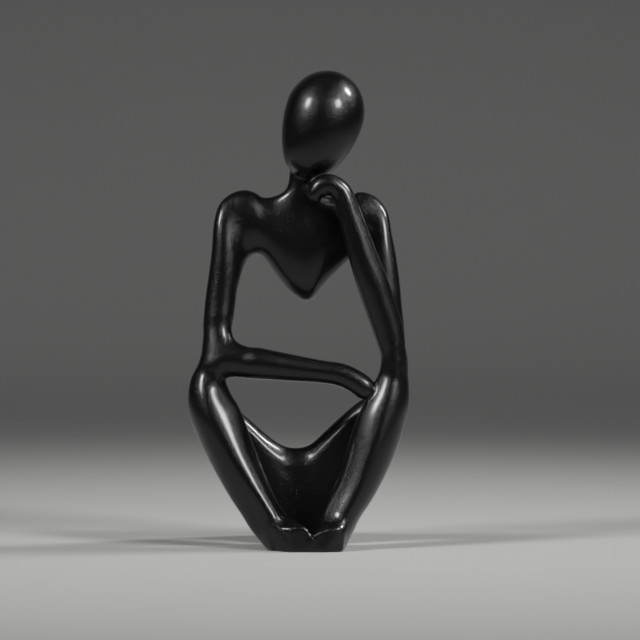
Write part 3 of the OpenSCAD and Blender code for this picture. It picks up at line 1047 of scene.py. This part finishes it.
@dataclass
class Trunk:
    """The chest with both arms in one sweep, from the drooping hand to the left knee.

    The chest's rows are places along its width, its top and its bottom from the shoulder
    down, and its half depth. The neck's are height, half width, turn and half depth.
    """

    joints: Joints
    hand_shares: Rows = (
        (0, -0.14, 0, 0.68, 0, 219, 0.48),
        (0.065, -0.11, 0.085, 0.68, 0, 246, 0.48),
        (0.135, -0.07, 0.12, 0.56, 0, 264, 0.47),
        (0.28, 0, 0.2, 0.505, 0, 262, 0.46),
        (0.47, 0, 0.3, 0.22, 0.3, 262, 0.42),
        (0.67, 0, 0.4, 0, 0.51, 262, 0.38),
        (0.8, 0, 0.48, 0, 0.515, 258, 0.37),
        (0.89, 0, 0.64, 0, 0.52, 246, 0.36),
        (0.962, 0, 0.84, 0, 0.5, 235, 0.32),
        (1, 0, 1, 0, 0.28, 228, 0.2),
    )
    upper_arm_shares: Rows = (
        (0, 0, 0, 0.5, 0, 90, 0.6),
        (0.2, 0, 0, 0.54, 0, 97, 0.59),
        (0.43, 0, 0.03, 0.55, 0, 104, 0.58),
        (0.62, 0.08, 0.085, 0.43, 0.2, 111, 0.55),
        (0.72, 0.15, 0.17, 0.26, 0.4, 118, 0.51),
        (0.79, 0.13, 0.315, 0.1, 0.465, 131, 0.47),
        (0.875, 0.04, 0.465, 0.02, 0.48, 150, 0.45),
        (0.96, -0.08, 0.655, 0, 0.49, 180, 0.45),
        (1.01, -0.13, 0.83, 0, 0.51, 191, 0.46),
        (1, -0.14, 1, 0, 0.68, 219, 0.48),
    )
    chest_shares: Rows = (
        (0.08, 0.005, 0.565, 0.42),
        (0.16, 0, 0.66, 0.43),
        (0.235, 0, 0.77, 0.46),
        (0.35, 0, 0.91, 0.51),
        (0.48, 0, 1, 0.54),
        (0.56, 0, 0.98, 0.54),
        (0.64, 0, 0.885, 0.52),
        (0.725, 0, 0.79, 0.46),
        (0.825, 0, 0.69, 0.41),
        (0.92, 0.005, 0.6, 0.4),
    )
    left_arm_shares: Rows = (
        (0, 0, 0, 0.5, 0, 270, 0.6),
        (0.16, 0, 0, 0.49, 0, 260, 0.58),
        (0.36, 0, 0.04, 0.48, 0, 252, 0.56),
        (0.49, 0.05, 0.12, 0.36, 0.21, 244, 0.53),
        (0.58, 0.11, 0.235, 0.18, 0.395, 235, 0.5),
        (0.7, 0.08, 0.39, 0.06, 0.445, 212, 0.47),
        (0.81, -0.02, 0.58, 0, 0.475, 187, 0.45),
        (0.92, -0.13, 0.79, 0, 0.44, 186, 0.43),
        (1, -0.2, 1, 0, 0.36, 180, 0.38),
        (1.02, -0.22, 1.12, 0, 0.26, 178, 0.28),
        (1.03, -0.24, 1.17, 0, 0.05, 178, 0.06),
    )
    neck_shares: Rows = (
        (-0.9, 0.9, 0, 0.3),
        (-0.2, 1, 0, 0.44),
        (0.04, 0.84, 0, 0.48),
        (0.3, 0.62, 0, 0.48),
        (0.56, 0.52, 0, 0.48),
        (0.8, 0.485, -4, 0.49),
        (1, 0.49, -9, 0.5),
    )
    chest_turn: float = 270.0
    hand_round: float = 0.8
    neck_fillet: float = 2.6
    elbow_share: float = 0.2
    elbow_reach: float = 10.0
    elbow_rounds: int = 36
    sweep: Limb = field(init=False)
    neck: Limb = field(init=False)
    joins: Tuple[int, int, int] = field(init=False)

    def shape(self, space: Space) -> Array:
        """Measure the chest, arms and neck.

        Args:
            space: The grid.

        Returns:
            Distances to the chest and arms, joined to the neck with a soft fillet.
        """
        s, j = self.joints.sizes, self.joints
        upper, lower = (s.root_h, s.arm_w), (s.arm_w, s.wrist_w)
        hand, arm, left = (
            Limb.between(start, end, widths, s.arm_d, shares)
            for start, end, widths, shares in (
                (j.right_elbow, j.right_hand, lower, self.hand_shares),
                (j.right_shoulder, j.right_elbow, upper, self.upper_arm_shares),
                (j.left_shoulder, j.left_elbow, upper, self.left_arm_shares),
            )
        )
        across, top, bottom, deep = np.asarray(self.chest_shares).T
        chest = table(
            j.right_shoulder[0] + across * s.chest_w,
            j.chest_y,
            s.shoulder_h - (top + bottom) / 2 * s.chest_h,
            (bottom - top) / 2 * s.chest_h,
            self.chest_turn,
            deep * s.chest_d,
        )
        rows = np.concatenate([hand.backwards()[:-1], arm.backwards(), chest, left.rows])
        elbow = len(hand.rows) - 1
        self.joins = (elbow, elbow + len(arm.rows) - 1, len(rows) - len(left.rows))
        self.sweep = Limb(rows, first_round=self.hand_round).measure(space)
        up, wide, turn, deep = np.asarray(self.neck_shares).T
        high = s.shoulder_h + up * s.neck_l
        neck = table(j.neck_x, 0.0, high, wide * s.neck_w, turn, deep * s.neck_w)
        self.neck = Limb(neck).measure(space)
        trunk = softly(self.sweep.distance, self.neck.distance, self.neck_fillet)
        bend = j.right_elbow + np.array([self.elbow_share, 0, self.elbow_share]) * s.arm_w
        return space.soothe(trunk, bend, self.elbow_reach, self.elbow_rounds)


@dataclass
class ChinArm:
    """The left forearm that props the chin, with its curled hand."""

    joints: Joints
    shares: Rows = (
        (-0.02, -0.1, -0.14, 0.05, 0, -4, 0.06),
        (-0.015, -0.09, -0.1, 0.26, 0, -3, 0.27),
        (0, -0.05, 0, 0.37, 0, 0, 0.38),
        (0.045, 0, 0.09, 0.44, 0, 8, 0.42),
        (0.13, 0.03, 0.2, 0.5, 0, 15, 0.43),
        (0.33, 0.08, 0.38, 0.51, 0, 17, 0.46),
        (0.45, 0.12, 0.49, 0.51, 0, 18, 0.47),
        (0.61, 0.13, 0.63, 0.47, 0, 19, 0.46),
        (0.73, 0.13, 0.745, 0.3, 0.19, 19, 0.43),
        (0.895, 0.12, 0.895, 0, 0.54, 20, 0.4),
        (1, 0.1, 1, 0, 0.48, 26, 0.39),
        (1.09, 0.06, 1.055, 0, 0.47, 52, 0.4),
        (1.28, 0.06, 1.095, 0, 0.47, 88, 0.42),
        (1.48, 0.06, 1.085, 0, 0.46, 118, 0.42),
        (1.6, 0.06, 1.048, 0, 0.4, 148, 0.4),
        (1.635, 0.06, 1.012, 0, 0.32, 166, 0.36),
        (1.63, 0.06, 0.985, 0, 0.16, 176, 0.2),
    )
    knuckle_round: float = 0.6
    limb: Limb = field(init=False)

    def shape(self, space: Space) -> Array:
        """Measure the forearm and hand.

        Args:
            space: The grid.

        Returns:
            Distances to both.
        """
        s, j = self.joints.sizes, self.joints
        widths = (s.arm_w, s.wrist_w)
        self.limb = Limb.between(j.left_elbow, j.left_wrist, widths, s.arm_d, self.shares)
        self.limb.final_round = self.knuckle_round
        return self.limb.measure(space).distance


# Rows of shares, as Limb.between says.
RIGHT_SHIN_SHARES = (
    (0.03, 0.06, -0.075, 0.03, 0, 150, 0.05, 0),
    (0.015, 0.03, -0.04, 0.19, 0, 154, 0.22, 0),
    (0, -0.094, 0, 0.283, 0, 161, 0.33, -0.05),
    (-0.02, -0.128, 0.07, 0.377, 0, 172, 0.43, -0.1),
    (0, -0.09, 0.168, 0.442, 0, 183, 0.51, -0.14),
    (0.085, -0.068, 0.27, 0.5, 0, 194, 0.57, -0.15),
    (0.2, -0.047, 0.38, 0.5, 0, 202, 0.6, -0.12),
    (0.435, -0.018, 0.593, 0.25, 0.27, 206, 0.62, 0.03),
    (0.68, 0.036, 0.784, 0.1, 0.41, 207, 0.62, 0.2),
    (0.88, 0.11, 0.92, 0, 0.49, 209, 0.58, 0.32),
    (1, 0.178, 1, 0, 0.48, 210, 0.54, 0.35),
    (1.12, 0.25, 1.08, 0, 0.42, 213, 0.5, 0.3),
    (1.24, 0.32, 1.16, 0, 0.34, 218, 0.44, 0.2),
)
LEFT_SHIN_SHARES = (
    (0.03, 0.02, -0.075, 0.03, 0, 184, 0.05, 0),
    (0.015, -0.03, -0.04, 0.15, 0, 182, 0.2, 0),
    (0, -0.1, 0, 0.23, 0, 180, 0.31, 0),
    (0.026, -0.13, 0.063, 0.3, 0, 177, 0.4, -0.05),
    (0.066, -0.137, 0.152, 0.377, 0, 172, 0.49, -0.08),
    (0.13, -0.105, 0.248, 0.45, 0, 166, 0.55, -0.1),
    (0.237, -0.068, 0.363, 0.5, 0, 158, 0.59, -0.1),
    (0.36, -0.027, 0.5, 0.5, 0, 154, 0.61, -0.1),
    (0.526, 0.013, 0.665, 0.25, 0.27, 153, 0.61, -0.12),
    (0.704, 0.077, 0.813, 0.1, 0.4, 152, 0.59, -0.16),
    (0.895, 0.14, 0.93, 0, 0.49, 151, 0.56, -0.22),
    (1, 0.178, 1, 0, 0.48, 150, 0.54, -0.25),
    (1.12, 0.25, 1.08, 0, 0.42, 147, 0.5, -0.2),
    (1.24, 0.32, 1.16, 0, 0.34, 142, 0.44, -0.1),
)
RIGHT_THIGH_SHARES = (
    (0.03, -0.15, -0.07, 0.03, 0, 150, 0.03),
    (0.015, -0.16, -0.035, 0.19, 0, 154, 0.12),
    (0, -0.19, 0, 0.283, 0, 161, 0.19),
    (-0.02, -0.22, 0.066, 0.377, 0, 172, 0.28),
    (0.007, -0.2, 0.155, 0.435, 0, 183, 0.345),
    (0.115, -0.21, 0.26, 0.49, 0, 194, 0.42),
    (0.25, -0.22, 0.39, 0.49, 0, 202, 0.46),
    (0.44, -0.23, 0.54, 0.25, 0.26, 206, 0.5),
    (0.63, -0.22, 0.705, 0.1, 0.36, 207, 0.52),
    (0.78, -0.17, 0.86, 0, 0.34, 207, 0.46),
    (0.9, -0.09, 0.95, 0, 0.21, 205, 0.36),
    (0.98, 0, 1, 0, 0.08, 204, 0.2),
)
LEFT_THIGH_SHARES = (
    (0.03, -0.15, -0.07, 0.03, 0, 184, 0.03),
    (0.015, -0.16, -0.035, 0.15, 0, 182, 0.12),
    (0, -0.19, 0, 0.23, 0, 180, 0.19),
    (0.025, -0.22, 0.06, 0.3, 0, 177, 0.25),
    (0.063, -0.21, 0.14, 0.377, 0, 172, 0.32),
    (0.126, -0.2, 0.23, 0.45, 0, 166, 0.38),
    (0.226, -0.21, 0.337, 0.49, 0, 158, 0.44),
    (0.346, -0.22, 0.463, 0.49, 0, 154, 0.48),
    (0.503, -0.23, 0.617, 0.25, 0.25, 153, 0.51),
    (0.66, -0.2, 0.754, 0.1, 0.34, 152, 0.5),
    (0.786, -0.15, 0.87, 0, 0.34, 153, 0.44),
    (0.887, -0.08, 0.957, 0, 0.21, 154, 0.36),
    (1, 0, 1, 0, 0.08, 156, 0.2),
)


@dataclass
class Foot:
    """A hoof-like foot of rounded square sections from heel to toes.

    Its rows are the place from the heel, half width, height and lean. The lean and the
    slant tip its top, and the taper draws the outer toes back.
    """

    joints: Joints
    side: Side
    width: float
    lean: float
    slant: float
    rise: float
    taper: float
    squareness: float = 0.74
    sole_h: float = 0.06
    under: float = 0.4
    toe_slope: float = 0.04
    edge: float = 0.8
    room: float = 14.0
    room_h: float = 2.4
    shares: Rows = (
        (0, 0.5, 1.05, 0.4),
        (0.1, 0.54, 1.15, 0.5),
        (0.4, 0.55, 1.25, 0.5),
        (0.6, 0.55, 1.25, 0.4),
        (0.8, 0.54, 1.14, 0.2),
        (0.93, 0.53, 1.06, 0.08),
        (0.98, 0.52, 1.0, 0.04),
        (1, 0.5, 0.97, 0.02),
    )

    def shape(self, space: Space) -> Array:
        """Measure the foot.

        Args:
            space: The grid.

        Returns:
            Distances to the foot.
        """
        s, j, way = self.joints.sizes, self.joints, self.side.value
        heel, middle = j.front_y + s.foot_l, j.feet_x + way * self.width / 2
        low = (middle - self.room, j.front_y - space.reach, -space.reach)
        high = (middle + self.room, heel + space.reach, self.room_h * s.toe_h + space.reach)
        window, (x, y, z) = space.local(low, high)
        place, half_w, height, shift = smooth(np.asarray(self.shares), STEPS).T
        along = np.clip((heel - y) / s.foot_l, 0, 1)
        half_w = np.interp(along, place, half_w) * self.width
        half_h = np.interp(along, place, height) * self.rise * s.toe_h / 2
        shift = way * np.interp(along, place, shift) * self.lean * self.width
        up = (z + self.sole_h * s.toe_h) / half_h
        u = (x - middle - shift * up / 2) / half_w
        up = up / (1 + self.slant * way * np.clip(u, -1, 1))
        over = np.where(up > 1, up - 1, self.under * (1 - up))
        power = 2 / self.squareness
        size = (np.abs(u) ** power + over**power) ** (1 / power)
        outer = np.clip(way * u, 0, 1) ** 2
        toes = j.front_y + self.taper * s.foot_w * outer + self.toe_slope * z
        ends = np.maximum(toes - y, y - heel)
        return space.filled(window, rounded_cut(even(size - 1, space.step), ends, self.edge))


@dataclass
class Leg:
    """A folded leg: the shin in front, the thigh behind it, and the foot.

    The rooms are boxes round the cuts, so that these touch nothing else.
    """

    joints: Joints
    side: Side
    shin_shares: Rows
    thigh_shares: Rows
    foot: Foot
    ridge: float = 1.6
    knee_fillet: float = 1.2
    hip_edge: float = 2.0
    hip_room: Box = ((-32, -27, -2), (32, 27, 56))
    ankle_edge: float = 2.5
    ankle_fillet: float = 3.2
    ankle_room: Box = ((-16, -27, -2), (22, -3, 20))
    shin: Limb = field(init=False)
    thigh: Limb = field(init=False)
    foot_distance: Array = field(init=False, repr=False)

    def shape(self, space: Space) -> Array:
        """Measure the leg.

        Args:
            space: The grid.

        Returns:
            Distances to the whole leg.
        """
        s, j = self.joints.sizes, self.joints.legs[self.side]
        widths = (s.leg_w, s.ankle_w)
        self.shin = Limb.between(j.knee, j.ankle, widths, s.shin_d, self.shin_shares)
        self.shin.rows[:, 6] *= self.side.value
        self.shin.fullness = self.ridge
        self.shin.measure(space)
        self.thigh = Limb.between(j.knee, j.seat, widths, s.thigh_d, self.thigh_shares)
        self.thigh.measure(space)
        leg = softly(self.shin.distance, self.thigh.distance, self.knee_fillet)
        window, (x, y, z) = space.local(*self.hip_room)
        leg[window] = rounded_cut(leg[window], j.hip.out(x, y, z), self.hip_edge)
        self.foot_distance = self.foot.shape(space)
        window, (x, y, z) = space.local(*self.ankle_room)
        over = j.ankle_cut.beyond().out(x, y, z)
        foot = rounded_cut(self.foot_distance[window], over, self.ankle_edge)
        self.foot_distance[window] = foot
        leg[window] = softly(leg[window], foot, self.ankle_fillet)
        return leg


@dataclass
class Lap:
    """The lap, a saddle from hip to hip with a thick rounded rim.

    The rim's rows are a place from hip to hip, the rim's height, how far back it lies,
    and how far back the seat below it reaches.
    """

    joints: Joints
    rim_shares: Rows = (
        (0, 1.5, 0.11, 0.78),
        (0.08, 1.355, 0.11, 0.85),
        (0.2, 1.155, 0.115, 0.93),
        (0.32, 1.03, 0.12, 0.98),
        (0.45, 1, 0.12, 1),
        (0.57, 1.04, 0.12, 0.98),
        (0.68, 1.18, 0.115, 0.94),
        (0.785, 1.35, 0.11, 0.88),
        (0.87, 1.49, 0.11, 0.82),
        (1, 1.66, 0.11, 0.76),
    )
    overlap: float = 1.5
    stations: int = 61
    least_width: float = 1.0
    corner_steps: int = 6
    room: Box = ((-28, -15, -2), (30, 27, 50))
    distance: Array = field(init=False, repr=False)

    def outline(self, rim_y: float, rim_z: float, seat_y: float) -> Array:
        """Return the lap's outline in a side view.

        Args:
            rim_y: Where the top of the rim lies along Y.
            rim_z: Height of the rim.
            seat_y: How far back the seat reaches.

        Returns:
            Rows of y and z on a smooth closed curve.
        """
        s, j = self.joints.sizes, self.joints
        t, steps = s.lap_t, self.corner_steps
        corners = np.array(
            [
                [rim_y, rim_z],
                [rim_y - 0.42 * t, rim_z - 0.22 * t],
                [rim_y - 0.74 * t, rim_z - 0.8 * t],
                [rim_y - 0.86 * t, rim_z - 1.55 * t],
                [0.11 * j.front_y, 0.5 * s.lap_h],
                [0.16 * j.front_y, 0.22 * s.lap_h],
                [0.13 * j.front_y, 0],
                [0.3 * seat_y, 0],
                [0.74 * seat_y, 0],
                [seat_y, 0.3 * s.lap_h],
                [0.84 * seat_y, 0.66 * s.lap_h],
                [rim_y + 0.95 * t, rim_z - 1.3 * t],
                [rim_y + 0.5 * t, rim_z - 0.36 * t],
            ]
        )
        around = np.concatenate([corners[-1:], corners, corners[:2]])
        return smooth(around, steps)[steps:-steps - 1]

    @staticmethod
    def off_outline(y: Array, z: Array, outline: Array) -> Array:
        """Measure how far points lie from a closed outline.

        Args:
            y: Places along Y.
            z: Heights.
            outline: Rows of y and z on the outline.

        Returns:
            The distances, negative inside.
        """
        best = np.full(y.shape, np.inf)
        inside = np.zeros(y.shape, bool)
        for a, b in zip(outline, np.roll(outline, -1, axis=0)):
            e = b - a
            py, pz = y - a[0], z - a[1]
            t = np.clip((py * e[0] + pz * e[1]) / max(e @ e, TINY), 0, 1)
            best = np.minimum(best, (py - t * e[0]) ** 2 + (pz - t * e[1]) ** 2)
            if a[1] != b[1]:
                crossing = (a[1] > z) != (b[1] > z)
                inside ^= crossing & (py < e[0] * pz / e[1])
        return np.where(inside, -1, 1) * np.sqrt(best)

    def shape(self, space: Space) -> Array:
        """Measure the lap.

        Args:
            space: The grid.

        Returns:
            Distances to the lap, which reaches a little into both legs.
        """
        s, j = self.joints.sizes, self.joints
        window, (x, y, z) = space.local(*self.room)
        yy, zz = np.broadcast_arrays(y[0], z[0])
        fine, last = smooth(np.asarray(self.rim_shares), STEPS), self.stations - 1
        sheets = []
        for share in np.linspace(0, 1, self.stations):
            height, place, seat = (np.interp(share, fine[:, 0], fine[:, c]) for c in (1, 2, 3))
            outline = self.outline(place * j.back_y, height * s.lap_h, seat * j.back_y)
            sheets.append(self.off_outline(yy, zz, outline).astype(np.float32))
        stack = np.stack(sheets)
        right_x, left_x = (j.legs[side].hip.x_at(y, z) for side in Side)
        width = np.maximum(left_x - right_x, self.least_width)
        across = np.clip((x - right_x) / width, 0, 1) * last
        low = np.minimum(across.astype(int), last - 1)
        iz, iy = np.indices(yy.shape)
        part = across - low
        d = stack[low, iz, iy] * (1 - part) + stack[low + 1, iz, iy] * part
        d = np.maximum(even(d, space.step), j.out_of_lap(x, y, z) - self.overlap)
        self.distance = space.filled(window, d)
        return self.distance


@dataclass
class Figure:
    """The whole figure: its skin, cut into the named pieces."""

    room: Box = ((-32.5, -27.0, -2.0), (32.5, 27.5, 132.0))
    step: float = 0.42
    neck_fillet: float = 1.6
    chin_fillet: float = 0.5
    legs_fillet: float = 1.6
    lap_fillet: float = 1.2
    arms_fillet: float = 0.7
    rest_fillet: float = 2.6
    elbow_reach: float = 7.0
    knee_reach: float = 5.5
    pin_room: float = 4.0
    pin_cover: float = 0.15
    pin_fillet: float = 1.4
    sole_edge: float = 0.5

    def __post_init__(self) -> None:
        """Gather the sub-assemblies."""
        self.joints = j = Joints(Sizes())
        self.space = Space(*self.room, self.step)
        self.head, self.trunk, self.chin_arm, self.lap = Head(j), Trunk(j), ChinArm(j), Lap(j)
        wide = j.sizes.foot_w
        right = Foot(j, Side.RIGHT, wide, lean=1.0, slant=-0.14, rise=1.08, taper=0.5)
        left = Foot(j, Side.LEFT, 0.93 * wide, lean=0.45, slant=0.16, rise=1.0, taper=0.15)
        self.legs = {
            Side.RIGHT: Leg(j, Side.RIGHT, RIGHT_SHIN_SHARES, RIGHT_THIGH_SHARES, right),
            Side.LEFT: Leg(j, Side.LEFT, LEFT_SHIN_SHARES, LEFT_THIGH_SHARES, left),
        }

    def solid(self) -> Array:
        """Join all the sub-assemblies.

        Returns:
            Distance to the whole figure's skin.
        """
        space = self.space
        head = self.head.shape(space)
        LOG.info("head measured")
        trunk = self.trunk.shape(space)
        LOG.info("chest and arms measured")
        arm = self.chin_arm.shape(space)
        LOG.info("forearm under the chin measured")
        right, left = (leg.shape(space) for leg in self.legs.values())
        LOG.info("legs and feet measured")
        lap = self.lap.shape(space)
        LOG.info("lap measured")
        upper = softly(softly(trunk, head, self.neck_fillet), arm, self.chin_fillet)
        lower = softly(softly(right, left, self.legs_fillet), lap, self.lap_fillet)
        whole = softly(upper, lower, self.fillets())
        for start, end, radius in Pins().runs():
            low, high = np.minimum(start, end), np.maximum(start, end)
            window, places = space.local(low - self.pin_room, high + self.pin_room)
            cover = off_line(start, end, places) - radius - self.pin_cover
            whole[window] = softly(whole[window], cover, self.pin_fillet)
        LOG.info("knees thick enough to hide their pins")
        ground = (-space.z)[None, :, None]
        return rounded_cut(whole, ground, self.sole_edge).astype(np.float32)

    def fillets(self) -> Array:
        """Work out how wide the fillet between arms and legs is.

        Returns:
            A width for each line of grid points along Y.
        """
        space, wide = self.space, 0.0
        for joint, reach in (
            (self.joints.right_elbow, self.elbow_reach),
            (self.joints.left_elbow, self.knee_reach),
        ):
            off = (space.x[:, None] - joint[0]) ** 2 + (space.z[None, :] - joint[2]) ** 2
            wide = wide + self.rest_fillet * np.exp(-off / reach**2)
        return (self.arms_fillet + wide)[:, :, None].astype(np.float32)

    def columns(self) -> Dict[str, Array]:
        """Gather the grid arrays that tell the pieces apart.

        Returns:
            The arrays, by name.
        """
        found = {
            "head": self.head.limb.distance,
            "arms": self.trunk.sweep.distance,
            "station": self.trunk.sweep.station,
            "neck": self.trunk.neck.distance,
            "left_forearm": self.chin_arm.limb.distance,
            "lap": self.lap.distance,
        }
        for side, leg in self.legs.items():
            word = side.name.lower()
            found[word + "_shin"] = leg.shin.distance
            found[word + "_thigh"] = leg.thigh.distance
            found[word + "_foot"] = leg.foot_distance
        return found

    def claims(self, points: Array, v: Dict[str, Array]) -> Dict[str, Array]:
        """Work out how far each vertex lies out of each named piece.

        Args:
            points: The vertices of the whole skin.
            v: Their values from the grid arrays, by name.

        Returns:
            A value for each vertex, by piece.
        """
        place = points.T
        hand, shoulder, left = self.trunk.joins
        arms, at = v["arms"], v["station"]
        legs, fold = {}, self.joints.leg_fold.out(*place)
        for side, leg in self.joints.legs.items():
            word, hip, cut = side.name.lower(), leg.hip.out(*place), leg.ankle_cut.out(*place)
            legs[word + "_shin"] = np.maximum.reduce([v[word + "_shin"], fold, hip, cut])
            legs[word + "_thigh"] = np.maximum.reduce([v[word + "_thigh"], -fold, hip])
            legs[word + "_foot"] = np.maximum(v[word + "_foot"], -cut)
        return {
            "head": v["head"],
            "left_forearm": v["left_forearm"],
            "right_forearm": np.maximum(arms, at - hand),
            "right_upper_arm": np.maximum.reduce([arms, hand - at, at - shoulder]),
            "left_upper_arm": np.maximum(arms, left - at),
            "torso": np.minimum(v["neck"], np.maximum.reduce([arms, shoulder - at, at - left])),
            **legs,
            "lap": np.maximum(v["lap"], self.joints.out_of_lap(*place)),
        }

    def pieces(self) -> Dict[str, Skin]:
        """Cut the skin into its named pieces.

        Returns:
            The skins, by piece.
        """
        solid, columns = self.solid(), self.columns()
        rest = Skin.over(self.space, solid, list(columns.values()))
        LOG.info("skin: %d points, %d faces", len(rest.points), len(rest.faces))
        claims = self.claims(rest.points, dict(zip(columns, rest.values.T)))
        rest.values = table(*claims.values())
        cut: Dict[str, Skin] = {}
        *names, final = claims
        for n, name in enumerate(names):
            level = rest.values[:, n] - rest.values[:, n + 1:].min(axis=1)
            cut[name], rest = rest.split(level)
        cut[final] = rest
        return cut

    def dress(self, lacquer: bpy.types.Material) -> None:
        """Make the pieces as objects in lacquer, in place of their plain solids.

        Args:
            lacquer: The finish.
        """
        for name, skin in self.pieces().items():
            points, faces, shown = skin.closed()
            piece = add_mesh(name + "_skin", points * MM, faces, shown, lacquer)
            flat = np.zeros(len(faces) * 3, np.float32)
            piece.data.polygons.foreach_get("normal", flat)
            normals = np.repeat(flat.reshape(-1, 3), 3, axis=0)
            normals[: 3 * shown] = skin.normals[faces[:shown].ravel()]
            piece.data.normals_split_custom_set(normals.tolist())
            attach(piece, BODY)
            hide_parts(name)
            LOG.info("%s: %d faces", name, len(faces))


class Pins:
    """The steel pins inside the joints, which keep their turned shape."""

    def runs(self) -> List[Tuple[Array, Array, float]]:
        """Measure the two knee pins.

        Returns:
            Both ends and the radius of each, in millimetres.
        """
        runs = []
        obj = bpy.data.objects["knee_pins"]
        places = np.array([obj.matrix_world @ v.co for v in obj.data.vertices]) / MM
        for pin in (places[places[:, 0] < 0], places[places[:, 0] > 0]):
            middle = (pin.max(axis=0) + pin.min(axis=0)) / 2
            axis = np.linalg.svd(pin - middle, full_matrices=False)[2][0]
            run = (pin - middle) @ axis
            away = np.linalg.norm(pin - middle - run[:, None] * axis, axis=1)
            runs.append((middle + run.min() * axis, middle + run.max() * axis, away.max()))
        return runs

    def dress(self, steel: bpy.types.Material) -> None:
        """Give every pin the steel finish.

        Args:
            steel: The finish.
        """
        for name, node in frame["nodes"].items():
            if name.endswith("_pin") or name.endswith("_pins"):
                obj = node if isinstance(node, bpy.types.Object) else bpy.data.objects[name]
                obj.data.materials.clear()
                obj.data.materials.append(steel)
                LOG.info("%s in steel", name)


# ---------------------------------------------------------------- studio


def aim(obj: bpy.types.Object, place: Point, target: Point) -> None:
    """Add a lamp or the camera to the scene.

    Args:
        obj: The lamp or camera.
        place: Where it stands.
        target: What it is turned to.
    """
    obj.location = place
    toward = Vector(target) - Vector(place)
    obj.rotation_euler = toward.to_track_quat("-Z", "Y").to_euler()
    bpy.context.scene.collection.objects.link(obj)


@dataclass
class Lamp:
    """A soft rectangular lamp aimed at the figure."""

    name: str
    place: Point
    size: Tuple[float, float]
    power: float
    aim_at: Point = (0.005, 0.0, 0.065)
    spread: float = 50.0

    def hang(self) -> None:
        """Add the lamp to the scene."""
        light = bpy.data.lights.new(self.name, "AREA")
        light.shape = "RECTANGLE"
        light.size, light.size_y = self.size
        light.energy = self.power
        light.spread = math.radians(self.spread)
        aim(bpy.data.objects.new(self.name, light), self.place, self.aim_at)


@dataclass
class Studio:
    """A pale backdrop, a floor painted pale round the figure that darkens away from it as a painted
    pool of light, soft lamps and the camera.
    """

    eye: Point = (0.00573, -0.9994, 0.0966)
    look: Point = (0.00573, 0.0, 0.06166)
    lens: float = 204.4
    sensor: float = 36.0
    clip: Tuple[float, float] = (0.01, 20.0)
    half_width: float = 4.0
    floor_front: float = -3.0
    floor_back: float = 0.9
    bend: float = 0.3
    bend_strips: int = 15
    wall_top: float = 3.0
    floor_colour: Point = (0.34, 0.34, 0.333)
    wall_colour: Point = (0.19, 0.19, 0.187)
    sky: Point = (0.06, 0.06, 0.0615)
    lamps: Tuple[Lamp, ...] = (
        Lamp("tall_lamp_left", (-0.7, -0.45, 0.8), (0.27, 0.36), 0.8),
        Lamp("wide_lamp_right", (0.7, -0.6, 0.72), (0.31, 0.34), 0.8),
        Lamp("high_lamp_right", (0.78, 0.14, 0.8), (0.2, 0.28), 0.56),
        Lamp("low_panel_right", (0.95, -0.8, 0.3), (0.9, 0.6), 0.035),
        Lamp("wall_lamp", (0.0, 0.35, 1.5), (1.6, 0.4), 3.2, (0.0, 1.25, 0.1), 80.0),
    )

    def sheet(self, name: str, profile: Sequence[Tuple[float, float]], paper: Paper) -> None:
        """Add a wide sheet of paper that isn't part of the figure.

        Args:
            name: Its name.
            profile: Its side view as places along Y and Z.
            paper: Its finish.
        """
        points = [(x, y, z) for y, z in profile for x in (-self.half_width, self.half_width)]
        strips = [(2 * n, 2 * n + 1, 2 * n + 3, 2 * n + 2) for n in range(len(profile) - 1)]
        obj = add_mesh(name, points, strips, len(strips), paper.material())

    def build(self) -> None:
        """Set up the studio."""
        near, far, bend = self.floor_front, self.floor_back, self.bend
        # painted light: the floor is pale round the figure and darkens into the wall's colour
        # further out
        floor = Paper("floor_paper", self.floor_colour, self.wall_colour)
        self.sheet("floor", [(near, 0.0), (far, 0.0)], floor)
        turns = [math.radians(90 * n / self.bend_strips) for n in range(self.bend_strips + 1)]
        curve = [(far + bend * math.sin(a), bend - bend * math.cos(a)) for a in turns]
        wall = Paper("wall_paper", self.wall_colour)
        self.sheet("backdrop", curve + [(far + bend, self.wall_top)], wall)
        for lamp in self.lamps:
            lamp.hang()
        scene = bpy.context.scene
        scene.world = bpy.data.worlds.new("studio_air")
        scene.world.use_nodes = True
        air = scene.world.node_tree.nodes["Background"].inputs
        air["Color"].default_value, air["Strength"].default_value = (*self.sky, 1.0), 1.0
        scene.view_settings.view_transform = "Standard"
        camera = bpy.data.objects.new("camera", bpy.data.cameras.new("camera"))
        camera.data.lens, camera.data.sensor_width = self.lens, self.sensor
        camera.data.clip_start, camera.data.clip_end = self.clip
        aim(camera, self.eye, self.look)
        scene.camera = camera
        LOG.info("studio ready")


def main() -> None:
    """Build the dressed figure and its studio."""
    logging.basicConfig(level=logging.INFO, format="%(message)s")
    Figure().dress(Lacquer().material())
    Pins().dress(PinSteel().material())
    Studio().build()


if __name__ == "__main__":
    main()
